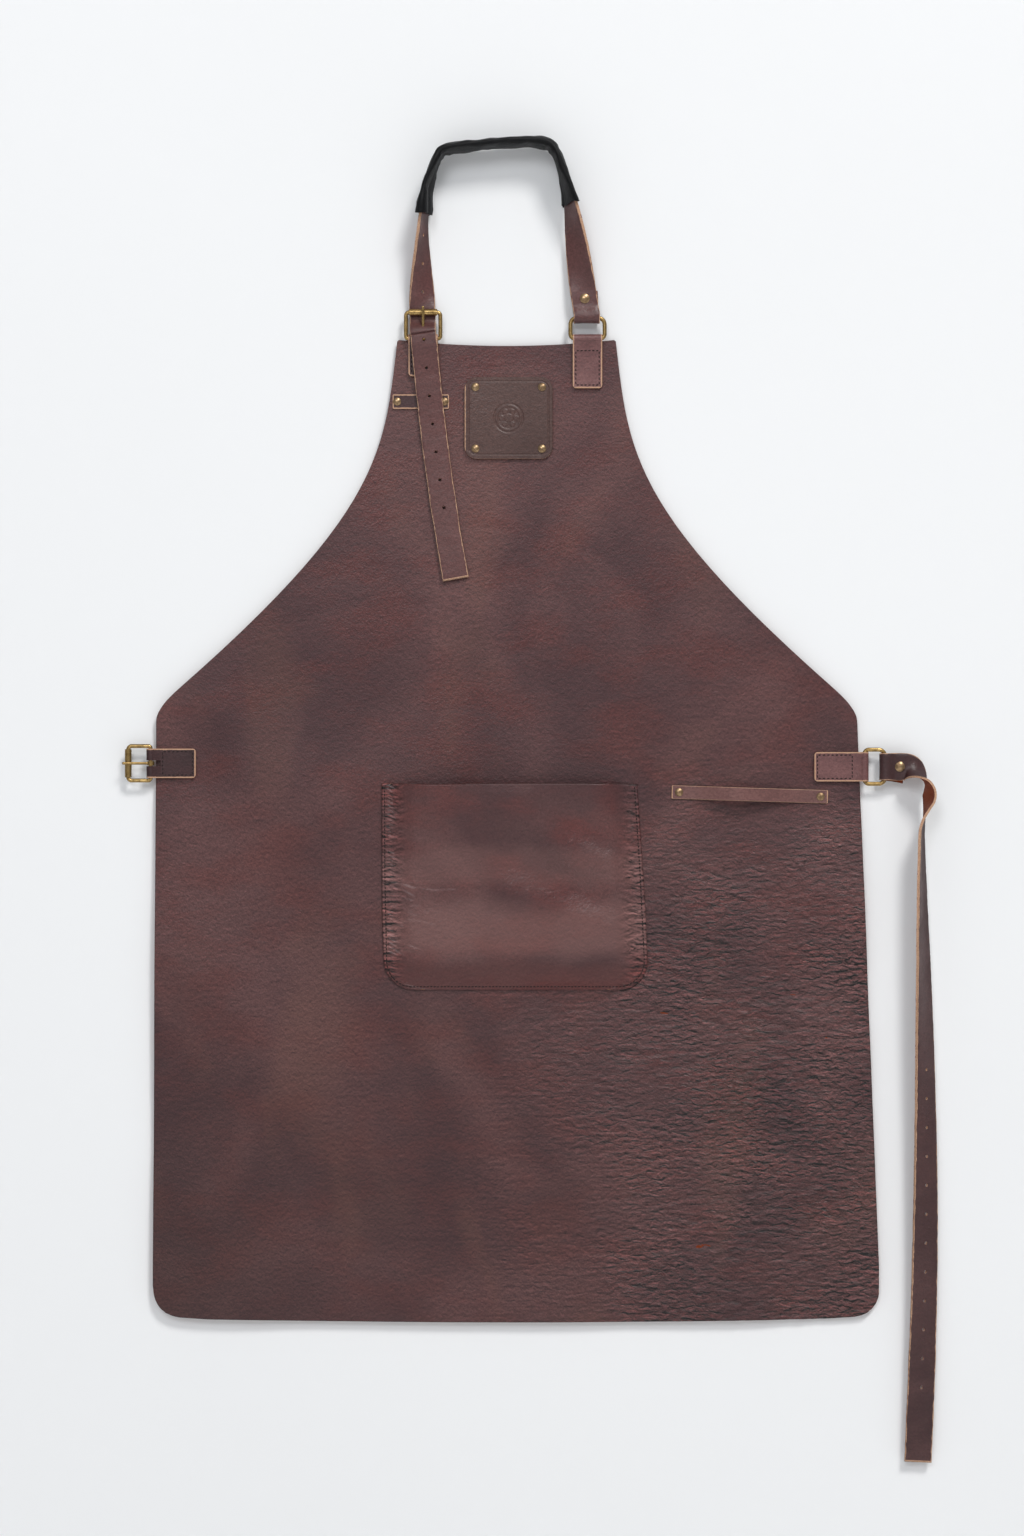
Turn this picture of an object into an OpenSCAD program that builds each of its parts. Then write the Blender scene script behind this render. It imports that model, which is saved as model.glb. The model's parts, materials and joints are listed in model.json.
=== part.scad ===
// Leather butcher apron: bib panel with pocket, label, tool loop, keeper,
// a neck strap with sleeve, buckle and ring, and a waist buckle, ring and strap.
// Frame: origin on the back face at the middle of the bib's top edge,
// +Z up, front of the apron towards -Y, +X to the viewer's right.

/* [Panel] */
// Leather thickness of the body panel
panel_t = 1.6; // [1.2:0.1:3]
// Half width of the bib's top edge
bib_half = 95; // [80:1:130]
// Rise of the bib's two corners above the middle of its top edge
bib_rise = 5.5; // [0:0.5:12]
// Half width at the waist
waist_half = 305; // [260:1:360]
// Depth from the bib's top edge to the waist corner
waist_drop = 315.7; // [250:1:380]
// Half width of the hem, left side
hem_left = 308; // [260:1:360]
// Half width of the hem, right side
hem_right = 326; // [260:1:380]
// Depth from the bib's top edge to the hem
hem_drop = 850; // [700:5:1000]
// Radius of the hem's corners
hem_r = 30; // [5:1:80]

/* [Pocket] */
// Width of the pocket at its open top edge
pocket_top_w = 222.4; // [150:1:260]
// Width of the pocket above its bottom corners
pocket_low_w = 229.4; // [150:1:260]
// Height of the pocket
pocket_h = 179; // [120:1:220]
// Depth of the pocket's top edge below the bib's top edge
pocket_drop = 381.5; // [340:1:480]
// Bottom corner radius
pocket_r = 25; // [5:1:60]
// How far the pocket stands off the panel at its mouth
pocket_gape = 11; // [4:1:30]

/* [Label, keeper and tool loop] */
// Label width
label_w = 77; // [50:1:100]
// Label height
label_h = 71; // [50:1:100]
// Label thickness
label_t = 3; // [1.5:0.1:4]
// Keeper strap length
keeper_l = 49; // [35:1:80]
// Keeper strap width
keeper_w = 12.5; // [8:0.5:20]
// Tool loop length between its ends
tool_l = 136; // [80:1:180]
// Tool loop width
tool_w = 11.5; // [8:0.5:20]
// How far the tool loop bows off the panel
tool_bow = 13; // [6:1:30]

/* [Straps and sleeve] */
// Strap leather thickness
strap_t = 2.2; // [1.6:0.1:3.5]
// Neck strap width
neck_w = 22.5; // [18:0.5:30]
// Waist strap width
waist_w = 23.5; // [18:0.5:30]
// Height of the neck loop above the bib
loop_h = 175; // [120:5:260]
// Depth of the neck tail's cut end below the bib's top edge
tail_drop = 202; // [120:1:300]
// Depth of the waist strap's cut end below the bib's top edge
strap_drop = 972; // [700:1:1100]
// Punched hole diameter
hole_d = 3; // [2:0.1:5]
// Spacing of the waist strap's punched holes
hole_pitch = 25.2; // [18:0.1:35]
// Sleeve width across the strap
sleeve_w = 29; // [25:0.5:45]
// Sleeve thickness over the strap
sleeve_t = 9; // [6:0.5:16]

/* [Hardware] */
// Wire diameter of the buckle frames
frame_d = 3.5; // [2.5:0.1:5]
// Wire diameter of the rings
ring_d = 3.6; // [2.5:0.1:5]
// Length of the neck buckle, bar to bar
neck_buckle_l = 22.8; // [18:0.1:30]
// Length of the waist buckle, bar to bar
waist_buckle_l = 19.5; // [16:0.1:30]
// Depth of the rings, bar to bar
ring_l = 18; // [14:0.5:28]
// Outside diameter of the rollers
roller_d = 5.8; // [5:0.1:8]
// Prong diameter
prong_d = 2.4; // [1.8:0.1:3.2]
// Small rivet cap diameter
cap_small = 7; // [5:0.5:10]
// Strap rivet cap diameter
cap_large = 8.5; // [6:0.5:12]

/* [Chapes] */
// Width of the four folded tabs
chape_w = 25.5; // [22:0.5:32]
// Leather thickness of the folded tabs
chape_t = 1.8; // [1.2:0.1:2.5]
// Stitch spacing on the tabs
tab_pitch = 3.6; // [2.5:0.1:6]
// Stitch spacing on the pocket
pocket_pitch = 3; // [2:0.1:6]

/* [Output] */
// Which node to draw

/* [Hidden] */
$fn = 48;

grain = [0.36, 0.27, 0.27];
grain_dark = [0.29, 0.2, 0.2];
flesh = [0.45, 0.26, 0.18];
metal = [0.55, 0.44, 0.32];
black = [0.12, 0.11, 0.13];
thread = [0.3, 0.22, 0.2];

// Bars of the four fittings: every bar sits this far in front of the back face
bar_y = -(panel_t + 2.1 + chape_t);
neck_bar_z = 6;
buckle_x = -72.5;
neck_ring_x = 70.5;
waist_z = -363.5;
waist_z_right = -366.5;
waist_buckle_x = -309.5;
waist_ring_x = 311.3;
tab_len = [32.5, 43, 39, 43.3];
half_bar = chape_w / 2 + 0.45 + frame_d / 2;
half_ring = chape_w / 2 + 0.3 + ring_d / 2;
ring_corner = 5.8;
front = -panel_t;
post_r = 1.25;
clear = 0.05;
sunk = 0.5;

// ---------- curves ----------
function bez(a, b, c, d, t) = pow(1 - t, 3) * a + 3 * pow(1 - t, 2) * t * b + 3 * (1 - t) * t * t * c + t * t * t * d;
function arc(a, b, c, d, n, from = 0) = [for (i = [from:n]) bez(a, b, c, d, i / n)];
function quad(a, b, c, n) = [for (i = [0:n]) let(t = i / n) (1 - t) * (1 - t) * a + 2 * t * (1 - t) * b + t * t * c];
function unit(v) = v / norm(v);
function ease(t) = let(u = max(0, min(1, t))) u * u * (3 - 2 * u);
function reversed(v) = [for (i = [len(v) - 1:-1:0]) v[i]];
function tangents(p) = [for (i = [0:len(p) - 1]) unit(p[min(i + 1, len(p) - 1)] - p[max(i - 1, 0)])];
function square_to(w, t) = unit(w - (w * t) * t);

// Armhole curve, from the bib's corner to a little short of the waist corner
function armhole(n) =
    let(a = [bib_half, bib_rise], d = [waist_half, -waist_drop],
        b = a + 100 * [sin(6.6), -cos(6.6)], c = d - 262 * [sin(49.3), -cos(49.3)])
    [for (i = [0:n]) bez(a, b, c, d, 0.965 * i / n)];

function half_outline(hem) =
    let(side = armhole(26), w = [waist_half, -waist_drop], h = [hem, 4 - hem_drop],
        dir = unit(h - w))
    concat([for (i = [1:len(side) - 1]) side[i]],
        quad(side[len(side) - 1], w, w + 11 * dir, 6),
        quad(h - hem_r * dir, h, h + [-hem_r, 0], 8));

function outline() = concat(
    [for (i = [-8:8]) let(x = (bib_half - 1.5) * i / 8) [x, bib_rise * pow(x / bib_half, 2)]],
    [[bib_half + 0.2, bib_rise - 1.5]],
    half_outline(hem_right),
    [for (i = [5:-1:-5]) let(x = 9 + (hem_right + hem_left) / 2 * i * 0.17) [x, 4 * pow((x - 9) / 317, 2) - hem_drop]],
    reversed([for (p = half_outline(hem_left)) [-p[0], p[1]]]),
    [[-bib_half - 0.2, bib_rise - 1.5]]);

// ---------- general shapes ----------
// Flat sheet lying on the XZ plane, its back at y = back
module sheet(t, back = 0) translate([0, back, 0]) rotate([90, 0, 0]) linear_extrude(t) children();

// Rounded rectangle made of true arcs
module round_rect(w, h, r) {
    square([w - 2 * r, h], center = true);
    square([w, h - 2 * r], center = true);
    for (x = [-1, 1], y = [-1, 1]) translate([x * (w / 2 - r), y * (h / 2 - r)]) circle(r);
}

// Round bar along Y, from y = a to y = b
module post(x, z, r, a, b) translate([x, a, z]) rotate([a > b ? 90 : -90, 0, 0]) cylinder(r = r, h = abs(b - a));

// Band swept along a path; one width direction per point
module band(path, widths, w, t) {
    tan = tangents(path);
    n = len(path);
    pts = [for (i = [0:n - 1]) let(s = square_to(widths[i], tan[i]), m = cross(tan[i], s))
        for (c = [[-1, -1], [1, -1], [1, 1], [-1, 1]]) path[i] + c[0] * w / 2 * s + c[1] * t / 2 * m];
    polyhedron(pts, concat(
        [[0, 2, 1], [0, 3, 2]],
        [for (i = [0:n - 2], k = [0:3]) let(a = 4 * i + k, b = 4 * i + (k + 1) % 4) [a, b, b + 4]],
        [for (i = [0:n - 2], k = [0:3]) let(a = 4 * i + k, b = 4 * i + (k + 1) % 4) [a, b + 4, a + 4]],
        [[4 * n - 4, 4 * n - 3, 4 * n - 2], [4 * n - 4, 4 * n - 2, 4 * n - 1]]), convexity = 8);
}

// Flattened tube swept along a path
module tube(path, widths, w, t, wi, ti) {
    tan = tangents(path);
    n = len(path);
    k = 16;
    ring = [for (j = [0:k - 1]) let(a = 360 * (j + 0.5) / k)
        [(w - t) / 2 * sign(cos(a)) + t / 2 * cos(a), t / 2 * sin(a)]];
    slot = [for (j = [0:k - 1]) let(a = 360 * (j + 0.5) / k)
        [(wi - ti) / 2 * sign(cos(a)) + ti / 2 * cos(a), ti / 2 * sin(a)]];
    pts = [for (i = [0:n - 1]) let(s = square_to(widths[i], tan[i]), m = cross(tan[i], s))
        for (c = concat(ring, slot)) path[i] + c[0] * s + c[1] * m];
    function q(a, b, c, d, flip) = flip ? [[a, c, b], [a, d, c]] : [[a, b, c], [a, c, d]];
    polyhedron(pts, concat(
        [for (i = [0:n - 2], j = [0:k - 1], f = let(a = 2 * k * i + j, b = 2 * k * i + (j + 1) % k)
            q(a, b, b + 2 * k, a + 2 * k, false)) f],
        [for (i = [0:n - 2], j = [0:k - 1], f = let(a = 2 * k * i + k + j, b = 2 * k * i + k + (j + 1) % k)
            q(a, b, b + 2 * k, a + 2 * k, true)) f],
        [for (j = [0:k - 1], f = let(a = j, b = (j + 1) % k) q(a, b, b + k, a + k, true)) f],
        [for (j = [0:k - 1], f = let(o = 2 * k * (n - 1), a = o + j, b = o + (j + 1) % k) q(a, b, b + k, a + k, false)) f]),
        convexity = 8);
}

// Domed rivet with its post; the cap's underside is at y = seat, the post ends at y = end
module rivet(x, z, seat, end, cap_d) {
    post(x, z, post_r, seat - 0.4, end);
    post(x, z, cap_d / 2, seat, seat - 0.5);
    rr = (pow(cap_d / 2, 2) + 1.44) / 2.4;
    intersection() {
        translate([x, seat - 0.5 + rr - 1.2, z]) sphere(rr);
        post(x, z, cap_d / 2, seat - 0.5, seat - 2);
    }
}

// Washer that closes a rivet on the far side, between y = near and y = far
module rivet_back(x, z, near, far, cap_d) difference() {
    post(x, z, cap_d / 2 - 0.1, near, far);
    post(x, z, post_r + clear, near - 1, far + 1);
}

// Row of stitches from a to b in a plane; each one runs through the leather from y = y0 to y = y1
module stitches(a, b, pitch, y0, y1) {
    n = max(1, round(norm(b - a) / pitch));
    ang = atan2(b[1] - a[1], b[0] - a[0]);
    for (i = [0:n - 1]) let(p = a + (b - a) * (i + 0.5) / n)
        translate([p[0], 0, p[1]]) rotate([0, -ang, 0]) translate([-0.33 * pitch, y1, -0.35])
            cube([0.66 * pitch, y0 - y1, 0.7]);
}

// Closed wire shape in the XZ plane: bar on z = 0, far side on z = l
module wire_frame(half, l, d, r_near, r_far) {
    translate([-half + r_near, 0, 0]) rotate([0, 90, 0]) cylinder(d = d, h = 2 * (half - r_near));
    translate([-half + r_far, 0, l]) rotate([0, 90, 0]) cylinder(d = d, h = 2 * (half - r_far));
    for (s = [-1, 1]) translate([s * half, 0, r_near]) cylinder(d = d, h = l - r_near - r_far);
    corner(half - r_near, r_near, r_near, -90, d);
    corner(-half + r_near, r_near, r_near, 180, d);
    corner(half - r_far, l - r_far, r_far, 0, d);
    corner(-half + r_far, l - r_far, r_far, 90, d);
}
module corner(x, z, r, a, d) translate([x, 0, z]) rotate([90, 0, 0]) rotate([0, 0, a])
    rotate_extrude(angle = 90) translate([r, 0]) circle(d = d);

// The four fittings' places: the bar's centre, and the turn that sends local +Z outwards
module at_neck_buckle() translate([buckle_x, bar_y, neck_bar_z]) children();
module at_neck_ring() translate([neck_ring_x, bar_y, neck_bar_z]) children();
module at_waist_buckle() translate([waist_buckle_x, bar_y, waist_z]) rotate([0, -90, 0]) children();
module at_waist_ring() translate([waist_ring_x, bar_y, waist_z_right]) rotate([0, 90, 0]) children();

// Folded tab: two layers and a loop round the bar, with rounded free corners;
// a slot for a prong, or a bore that flares where a ring's corners leave it
tab_r = 3;
module tab(l, slot) difference() {
    back = front - bar_y;
    inner = frame_d / 2 + 0.12;
    outer = inner + chape_t;
    translate([-chape_w / 2, 0, 0]) rotate([90, 0, 90]) difference() {
        union() {
            cylinder(r = outer, h = chape_w);
            linear_extrude(chape_w) polygon([[outer, 0], [back, -4], [back, -l], [back - 2 * chape_t - 0.1, -l],
                [back - 2 * chape_t - 0.1, -9], [-outer, 0]]);
        }
        translate([0, 0, -1]) cylinder(r = inner, h = chape_w + 2);
        translate([0, 0, -1]) linear_extrude(chape_w + 2) polygon([[inner - 0.02, 0], [back - chape_t, -3],
            [back - chape_t, -l - 1], [back - chape_t - 0.1, -l - 1], [back - chape_t - 0.1, -9.5], [0.02 - inner, 0]]);
        if (slot) translate([-6, -8.6, chape_w / 2 - 2.5]) cube([10, 15.1, 5]);
    }
    if (!slot) for (s = [-1, 1]) translate([s * (chape_w / 2 - 1.95), 0, 0]) rotate([0, 90 * s, 0])
        cylinder(r1 = inner, r2 = inner + 1.25, h = 2.1);
    for (s = [-1, 1]) translate([s * (chape_w / 2 - tab_r), 0, tab_r - l]) rotate([90, 0, 0]) difference() {
        translate([s > 0 ? 0 : -tab_r - 1, -tab_r - 1, -9]) cube([tab_r + 1, tab_r + 1, 18]);
        cylinder(r = tab_r, h = 20, center = true);
    }
}

module tab_stitches(l) {
    y0 = -bar_y - 0.3;
    y1 = -bar_y + front - 2 * chape_t - 0.45;
    e = chape_w / 2 - 2.6;
    stitches([-e, -10.5], [-e, 2.6 - l], tab_pitch, y0, y1);
    stitches([e, -10.5], [e, 2.6 - l], tab_pitch, y0, y1);
    stitches([-e, -10.5], [e, -10.5], tab_pitch, y0, y1);
    stitches([-e, 2.6 - l], [e, 2.6 - l], tab_pitch, y0, y1);
}

module roller(l) translate([0.55 - chape_w / 2, 0, l]) rotate([0, 90, 0]) difference() {
    cylinder(d = roller_d, h = chape_w - 1.1);
    translate([0, 0, -1]) cylinder(r = frame_d / 2 + 0.09, h = chape_w + 3);
}

// Line the prong lies on: from beside the bar to its rest on the roller
function prong_tip_y() = -(roller_d + prong_d) / 2 - 0.05;
function prong_lean(l) = atan2(-prong_tip_y() - 1.4, l - 2.2);
module prong(l) {
    difference() {
        translate([-1.7, 0, 0]) rotate([0, 90, 0]) cylinder(r = 3.2, h = 3.4);
        translate([-3, 0, 0]) rotate([0, 90, 0]) cylinder(r = frame_d / 2 + 0.09, h = 6);
    }
    s = (l + 1.6) / cos(prong_lean(l));
    translate([0, -1.4, 2.2]) rotate([prong_lean(l), 0, 0]) {
        translate([0, 0, 0.2]) cylinder(d = prong_d, h = s - 0.2);
        translate([0, 0, s]) sphere(d = prong_d);
    }
}

// ---------- straps ----------
// Left riser of the neck strap, by height above the bib
riser_low = 27;
riser_top = 160;
function left_turn(z) = let(t = max(0, min(1, (z - 33) / 107))) -78 * (1 - pow(1 - t, 2.4)) - 12 * ease((z - 135) / 25);
function right_turn(z) = 90 * pow(max(0, min(1, (z - 48) / 105)), 0.9) - 180;
function left_y(z) = bar_y + roller_d / 2 + strap_t / 2 + 0.1 - 13 * ease((z - 34) / 90);
function right_y(z) = bar_y - strap_t / 2 - 0.05 - 7.9 * ease((z - 48.5) / 78);
function face(a) = [cos(a), -sin(a), 0];

left_riser = [for (i = [0:22]) let(p = bez([buckle_x - 0.9, riser_low], [buckle_x - 1, 70], [buckle_x - 3, 128], [-61, riser_top], i / 22))
    [p[0], left_y(p[1]), p[1], left_turn(p[1])]];
over = concat(
    [for (i = [1:8]) let(p = bez([-61, riser_top], [-58, 167.5], [-54, 169], [-46, loop_h - 5], i / 8)) [p[0], left_y(200), p[1], -90]],
    [for (i = [1:8]) let(p = bez([-46, loop_h - 5], [-20, loop_h - 2], [5, loop_h + 2], [30, loop_h], i / 8)) [p[0], left_y(200), p[1], -90]],
    [for (i = [1:8]) let(p = bez([30, loop_h], [37.5, loop_h - 0.8], [41, loop_h - 4], [44, 164], i / 8)) [p[0], left_y(200), p[1], -90]]);
right_riser = concat([for (i = [1:22]) let(p = bez([44, 164], [54, 138], [57.5, 112], [neck_ring_x - 3.9, 47], i / 22))
    [p[0], right_y(p[1]), p[1], right_turn(p[1])]],
    [[neck_ring_x - 3.62, right_y(0), 45.2, -180], [neck_ring_x - 2.5, right_y(0), 38, -180]]);

// From the cut above the tail, through the buckle, over the neck and round the ring
cut_y = bar_y - 5.1;
bend_y = cut_y;
bend_z = neck_bar_z + 3;
loop_r = 3.2 + strap_t / 2;
ring_top = neck_bar_z + ring_l;
layer_gap = strap_t / 2 + 0.05;
through = [for (i = [0:11]) let(p = bez([cut_y, bend_z + 2.5], [cut_y, bend_z + 6.5], [left_y(0), 18], [left_y(0), riser_low], i / 12))
    [buckle_x - 0.4, p[0], p[1], 0]];
neck_turn = concat(
    [[neck_ring_x - 2.5, bar_y - layer_gap, 36.2, -180]],
    [for (i = [0:5]) let(p = bez([bar_y - layer_gap, 34.8], [bar_y - layer_gap, 31.5], [bar_y - loop_r, 29.5], [bar_y - loop_r, ring_top], i / 5)) [neck_ring_x - 2.5 + i * 0.4, p[0], p[1], -180]],
    [for (i = [1:11]) let(a = 180 * i / 12) [neck_ring_x - 0.5, bar_y - loop_r * cos(a), ring_top - loop_r * sin(a), -180]],
    [for (i = [0:5]) let(p = bez([bar_y + loop_r, ring_top], [bar_y + loop_r, 29.5], [bar_y + layer_gap, 31.5], [bar_y + layer_gap, 34.8], i / 5)) [neck_ring_x - 0.5 - i * 0.38, p[0], p[1], -180]],
    [[neck_ring_x - 2.4, bar_y + layer_gap, 43, -180], [neck_ring_x - 2.4, bar_y + layer_gap, 47.5, -180]]);
neck_path = concat(through, left_riser, over, right_riser, neck_turn);
neck_rivet = [neck_ring_x - 2.4, 40.5];

// The tail hangs from a bend just in front of the buckle's bar
function tail_x(z) = let(s = 5 - z) -71.8 + 0.085 * s + 0.00023 * s * s;
function tail_y(z) = let(s = 5 - z) bend_y + 3.9 * ease((s - 3) / 32) + 1.9 * ease((s - 30) / 50) - 1.2 * ease((s - 120) / 90);
tail_path = [for (i = [0:36]) let(z = bend_z - (bend_z + tail_drop) * i / 36) [tail_x(z), tail_y(z), z]];
tail_holes = [for (i = [0:6]) 4.5 - 24.3 * i];

// Waist strap: returned end, round the ring, then over and down
strap_axis = waist_ring_x + ring_l;
strap_r = 3.3 + strap_t / 2;
strap_bottom = -strap_drop;
strap_start = concat(
    [[strap_axis + 17.4, bar_y + layer_gap], [strap_axis + 13, bar_y + layer_gap], [strap_axis + 8.6, bar_y + layer_gap]],
    [for (i = [0:5]) bez([strap_axis + 8, bar_y + layer_gap], [strap_axis + 6, bar_y + layer_gap], [strap_axis + 5, bar_y + strap_r], [strap_axis, bar_y + strap_r], i / 5)],
    [for (i = [1:11]) let(a = 180 * i / 12) [strap_axis - strap_r * sin(a), bar_y + strap_r * cos(a)]],
    [for (i = [0:5]) bez([strap_axis, bar_y - strap_r], [strap_axis + 5, bar_y - strap_r], [strap_axis + 6, bar_y - layer_gap], [strap_axis + 8, bar_y - layer_gap], i / 5)],
    [[strap_axis + 17, bar_y - layer_gap]]);
corner_path = concat(
    [for (i = [0:14]) bez([strap_axis + 18.2, bar_y - layer_gap, waist_z_right], [353.5, bar_y - layer_gap, waist_z_right], [366, -14, waist_z_right - 12], [367.1, -15.5, waist_z_right - 23.2], i / 14)],
    [for (i = [1:6]) bez([367.1, -15.5, waist_z_right - 23.2], [368, -16, waist_z_right - 33], [360.3, -15.5, waist_z_right - 42], [360, -15, waist_z_right - 60], i / 6)]);
hang_top = waist_z_right - 60;
function hang_x(t) = 360 - 2 * t + 5.5 * sin(180 * pow(t, 1.25));
function hang_y(t) = -15 + 10.5 * ease(t);
function hang_turn(t) = 75 * pow(1 - t, 1.25);
hang = [for (i = [1:30]) let(t = i / 30) [hang_x(t), hang_y(t), hang_top + (strap_bottom - hang_top) * t]];
waist_path = concat([for (p = strap_start) [p[0], p[1], waist_z_right - (p[1] > bar_y ? 0.18 * max(0, p[0] - strap_axis) : 0)]], corner_path, hang);
n_start = len(strap_start);
n_corner = len(corner_path);
function corner_turn(i) = i < 14 ? 111 * pow(ease(i / 14), 0.8) : 111 - 36 * ease((i - 14) / 5.7);
waist_widths = let(tan = tangents(waist_path)) [for (i = [0:len(waist_path) - 1])
    i < n_start ? [0, 0, 1]
    : let(b = i < n_start + n_corner ? corner_turn(i - n_start) : hang_turn((i - n_start - n_corner + 1) / 30),
          p = unit([-tan[i][2], 0, tan[i][0]])) cos(b) * p + sin(b) * [0, 1, 0]];
waist_rivet = [strap_axis + 12.7, waist_z_right];
first_hole = -629.5;

// ---------- pocket ----------
pocket_z0 = -pocket_drop;
pocket_z1 = -pocket_drop - pocket_h;
function pocket_mid(z) = 2.6 + 6.1 * (pocket_z0 - z) / pocket_h;
function pocket_half(z) = let(t = (pocket_z0 - z) / pocket_h, w = (pocket_top_w + (pocket_low_w - pocket_top_w) * min(1, 1.6 * t)) / 2,
    d = max(0, pocket_z1 + pocket_r - z)) w - (pocket_r - sqrt(max(0, pocket_r * pocket_r - d * d)));
pocket_rows = concat([for (i = [0:9]) pocket_z0 - (pocket_h - pocket_r) * i / 9],
    [for (i = [1:6]) pocket_z1 + pocket_r * (1 - sin(15 * i))]);
function stand_off(u, z) = pocket_gape * ease((z - pocket_z1 - 12) / (pocket_h - 20)) * ease(((1 - abs(u)) * pocket_half(z) - 8) / 45);
pocket_cols = [for (i = [0:22]) sin(90 * (i / 11 - 1) * 0.999) * 0.35 + (i / 11 - 1) * 0.65];

// ---------- nodes ----------
module apron_panel() color(grain) difference() {
    sheet(panel_t) polygon(outline());
    for (p = label_points()) rivet_seat(p[0], p[1]);
    for (s = [-1, 1]) rivet_seat(keeper_x(s), keeper_z);
    for (s = [-1, 1]) rivet_seat(tool_x(s), tool_z(s));
    post(45.1, -50.5, 0.8, 1, -3);
}
// Rivet hole with a shallow seat on the back face, so that the washer lies flush
module rivet_seat(x, z) {
    post(x, z, post_r + clear, 1, -5);
    post(x, z, cap_small / 2, 1, -sunk);
}

function cell(a, b, c, d) = [[a, b, c], [a, c, d]];
module pocket_panel() color(grain) {
    nr = len(pocket_rows);
    nc = len(pocket_cols);
    pts = concat(
        [for (z = pocket_rows, u = pocket_cols) [pocket_mid(z) + u * pocket_half(z), front - stand_off(u, z), z]],
        [for (z = pocket_rows, u = pocket_cols) [pocket_mid(z) + u * pocket_half(z), front - panel_t - stand_off(u, z), z]]);
    o = nr * nc;
    polyhedron(pts, [for (f = concat(
        [for (i = [0:nr - 2], j = [0:nc - 2]) let(a = i * nc + j) cell(a, a + 1, a + nc + 1, a + nc)],
        [for (i = [0:nr - 2], j = [0:nc - 2]) let(a = o + i * nc + j) cell(a, a + nc, a + nc + 1, a + 1)],
        [for (j = [0:nc - 2]) cell(j, j + o, j + 1 + o, j + 1)],
        [for (j = [0:nc - 2]) let(a = (nr - 1) * nc + j) cell(a, a + 1, a + 1 + o, a + o)],
        [for (i = [0:nr - 2]) let(a = i * nc) cell(a, a + nc, a + nc + o, a + o)],
        [for (i = [0:nr - 2]) let(a = i * nc + nc - 1) cell(a, a + o, a + nc + o, a + nc)]), t = f) t], convexity = 6);
}

pocket_in = 2.6;
function edge(s, z) = [pocket_mid(z) + s * (pocket_half(z) - pocket_in), z];
module pocket_stitching() color(thread) {
    y0 = -0.3;
    y1 = front - panel_t - 0.35;
    low = pocket_z1 + pocket_r;
    rr = pocket_r - pocket_in;
    for (s = [-1, 1]) {
        stitches(edge(s, pocket_z0 - 2), edge(s, (pocket_z0 + low) / 2), pocket_pitch, y0, y1);
        stitches(edge(s, (pocket_z0 + low) / 2), edge(s, low), pocket_pitch, y0, y1);
        c = edge(s, low) - [s * rr, 0];
        for (i = [0:10]) stitches(c + rr * [s * cos(i * 90 / 11), -sin(i * 90 / 11)],
            c + rr * [s * cos((i + 1) * 90 / 11), -sin((i + 1) * 90 / 11)], 4, y0, y1);
    }
    stitches(edge(-1, low) + [rr, -rr], edge(1, low) - [rr, rr], pocket_pitch, y0, y1);
}

label_x = 1.9;
label_z = -62.9;
function label_points() = [for (x = [-1, 1], z = [-1, 1]) [label_x + 29 * x, label_z + 26.8 * z]];
module label_patch() color(grain) difference() {
    translate([label_x, 0, label_z]) {
        sheet(label_t - 0.5, front) round_rect(label_w, label_h, 10.5);
        sheet(0.5, front - label_t + 0.5) round_rect(label_w - 1.2, label_h - 1.2, 10);
    }
    for (p = label_points()) post(p[0], p[1], post_r + clear, 0, -6);
    translate([label_x, 0, label_z]) sheet(1, front - label_t + 0.35) {
        difference() { circle(13); circle(11.8); }
        difference() { circle(9.4); circle(3.4); for (a = [0:60:300]) rotate(a) translate([6.4, 0]) circle(2.1); }
    }
}
module label_rivets() color(metal) for (p = label_points()) rivet(p[0], p[1], front - label_t, -0.02, cap_small);
module label_rivet_backs() color(metal) for (p = label_points()) rivet_back(p[0], p[1], -sunk, -0.02, cap_small);

keeper_mid = -74.6;
keeper_z = -48.6;
keeper_t = 1.6;
function keeper_x(s) = keeper_mid + s * (keeper_l / 2 - 3.9);
module keeper_strap() color(grain_dark) difference() {
    translate([keeper_mid, 0, keeper_z]) sheet(keeper_t, front) round_rect(keeper_l, keeper_w, 1.2);
    for (s = [-1, 1]) post(keeper_x(s), keeper_z, post_r + clear, 0, -6);
}
module keeper_rivets() color(metal) for (s = [-1, 1]) rivet(keeper_x(s), keeper_z, front - keeper_t, -0.02, cap_small);
module keeper_rivet_backs() color(metal) for (s = [-1, 1]) rivet_back(keeper_x(s), keeper_z, -sunk, -0.02, cap_small);

tool_mid = [211.8, -390.6];
tool_tilt = 1.8;
tool_t = 1.8;
function tool_x(s) = tool_mid[0] + s * (tool_l / 2 - 6.4) * cos(tool_tilt);
function tool_z(s) = tool_mid[1] - s * (tool_l / 2 - 6.4) * sin(tool_tilt);
function tool_curve(x) = tool_bow * (ease((x + tool_l / 2 - 13) / 46) * ease((tool_l / 2 - 13 - x) / 70));
module tool_loop() color(flesh) difference() {
    n = 44;
    xs = [for (i = [0:n]) -tool_l / 2 + tool_l * i / n];
    translate([tool_mid[0], front, tool_mid[1]]) rotate([0, tool_tilt, 0]) translate([0, 0, -tool_w / 2])
        linear_extrude(tool_w) polygon(concat([for (x = xs) [x, -tool_curve(x)]],
            reversed([for (x = xs) [x, -tool_curve(x) - tool_t]])));
    for (s = [-1, 1]) post(tool_x(s), tool_z(s), post_r + clear, 0, -6);
}
module tool_loop_rivets() color(metal) for (s = [-1, 1]) rivet(tool_x(s), tool_z(s), front - tool_t, -0.02, cap_small);
module tool_loop_rivet_backs() color(metal) for (s = [-1, 1]) rivet_back(tool_x(s), tool_z(s), -sunk, -0.02, cap_small);

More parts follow.
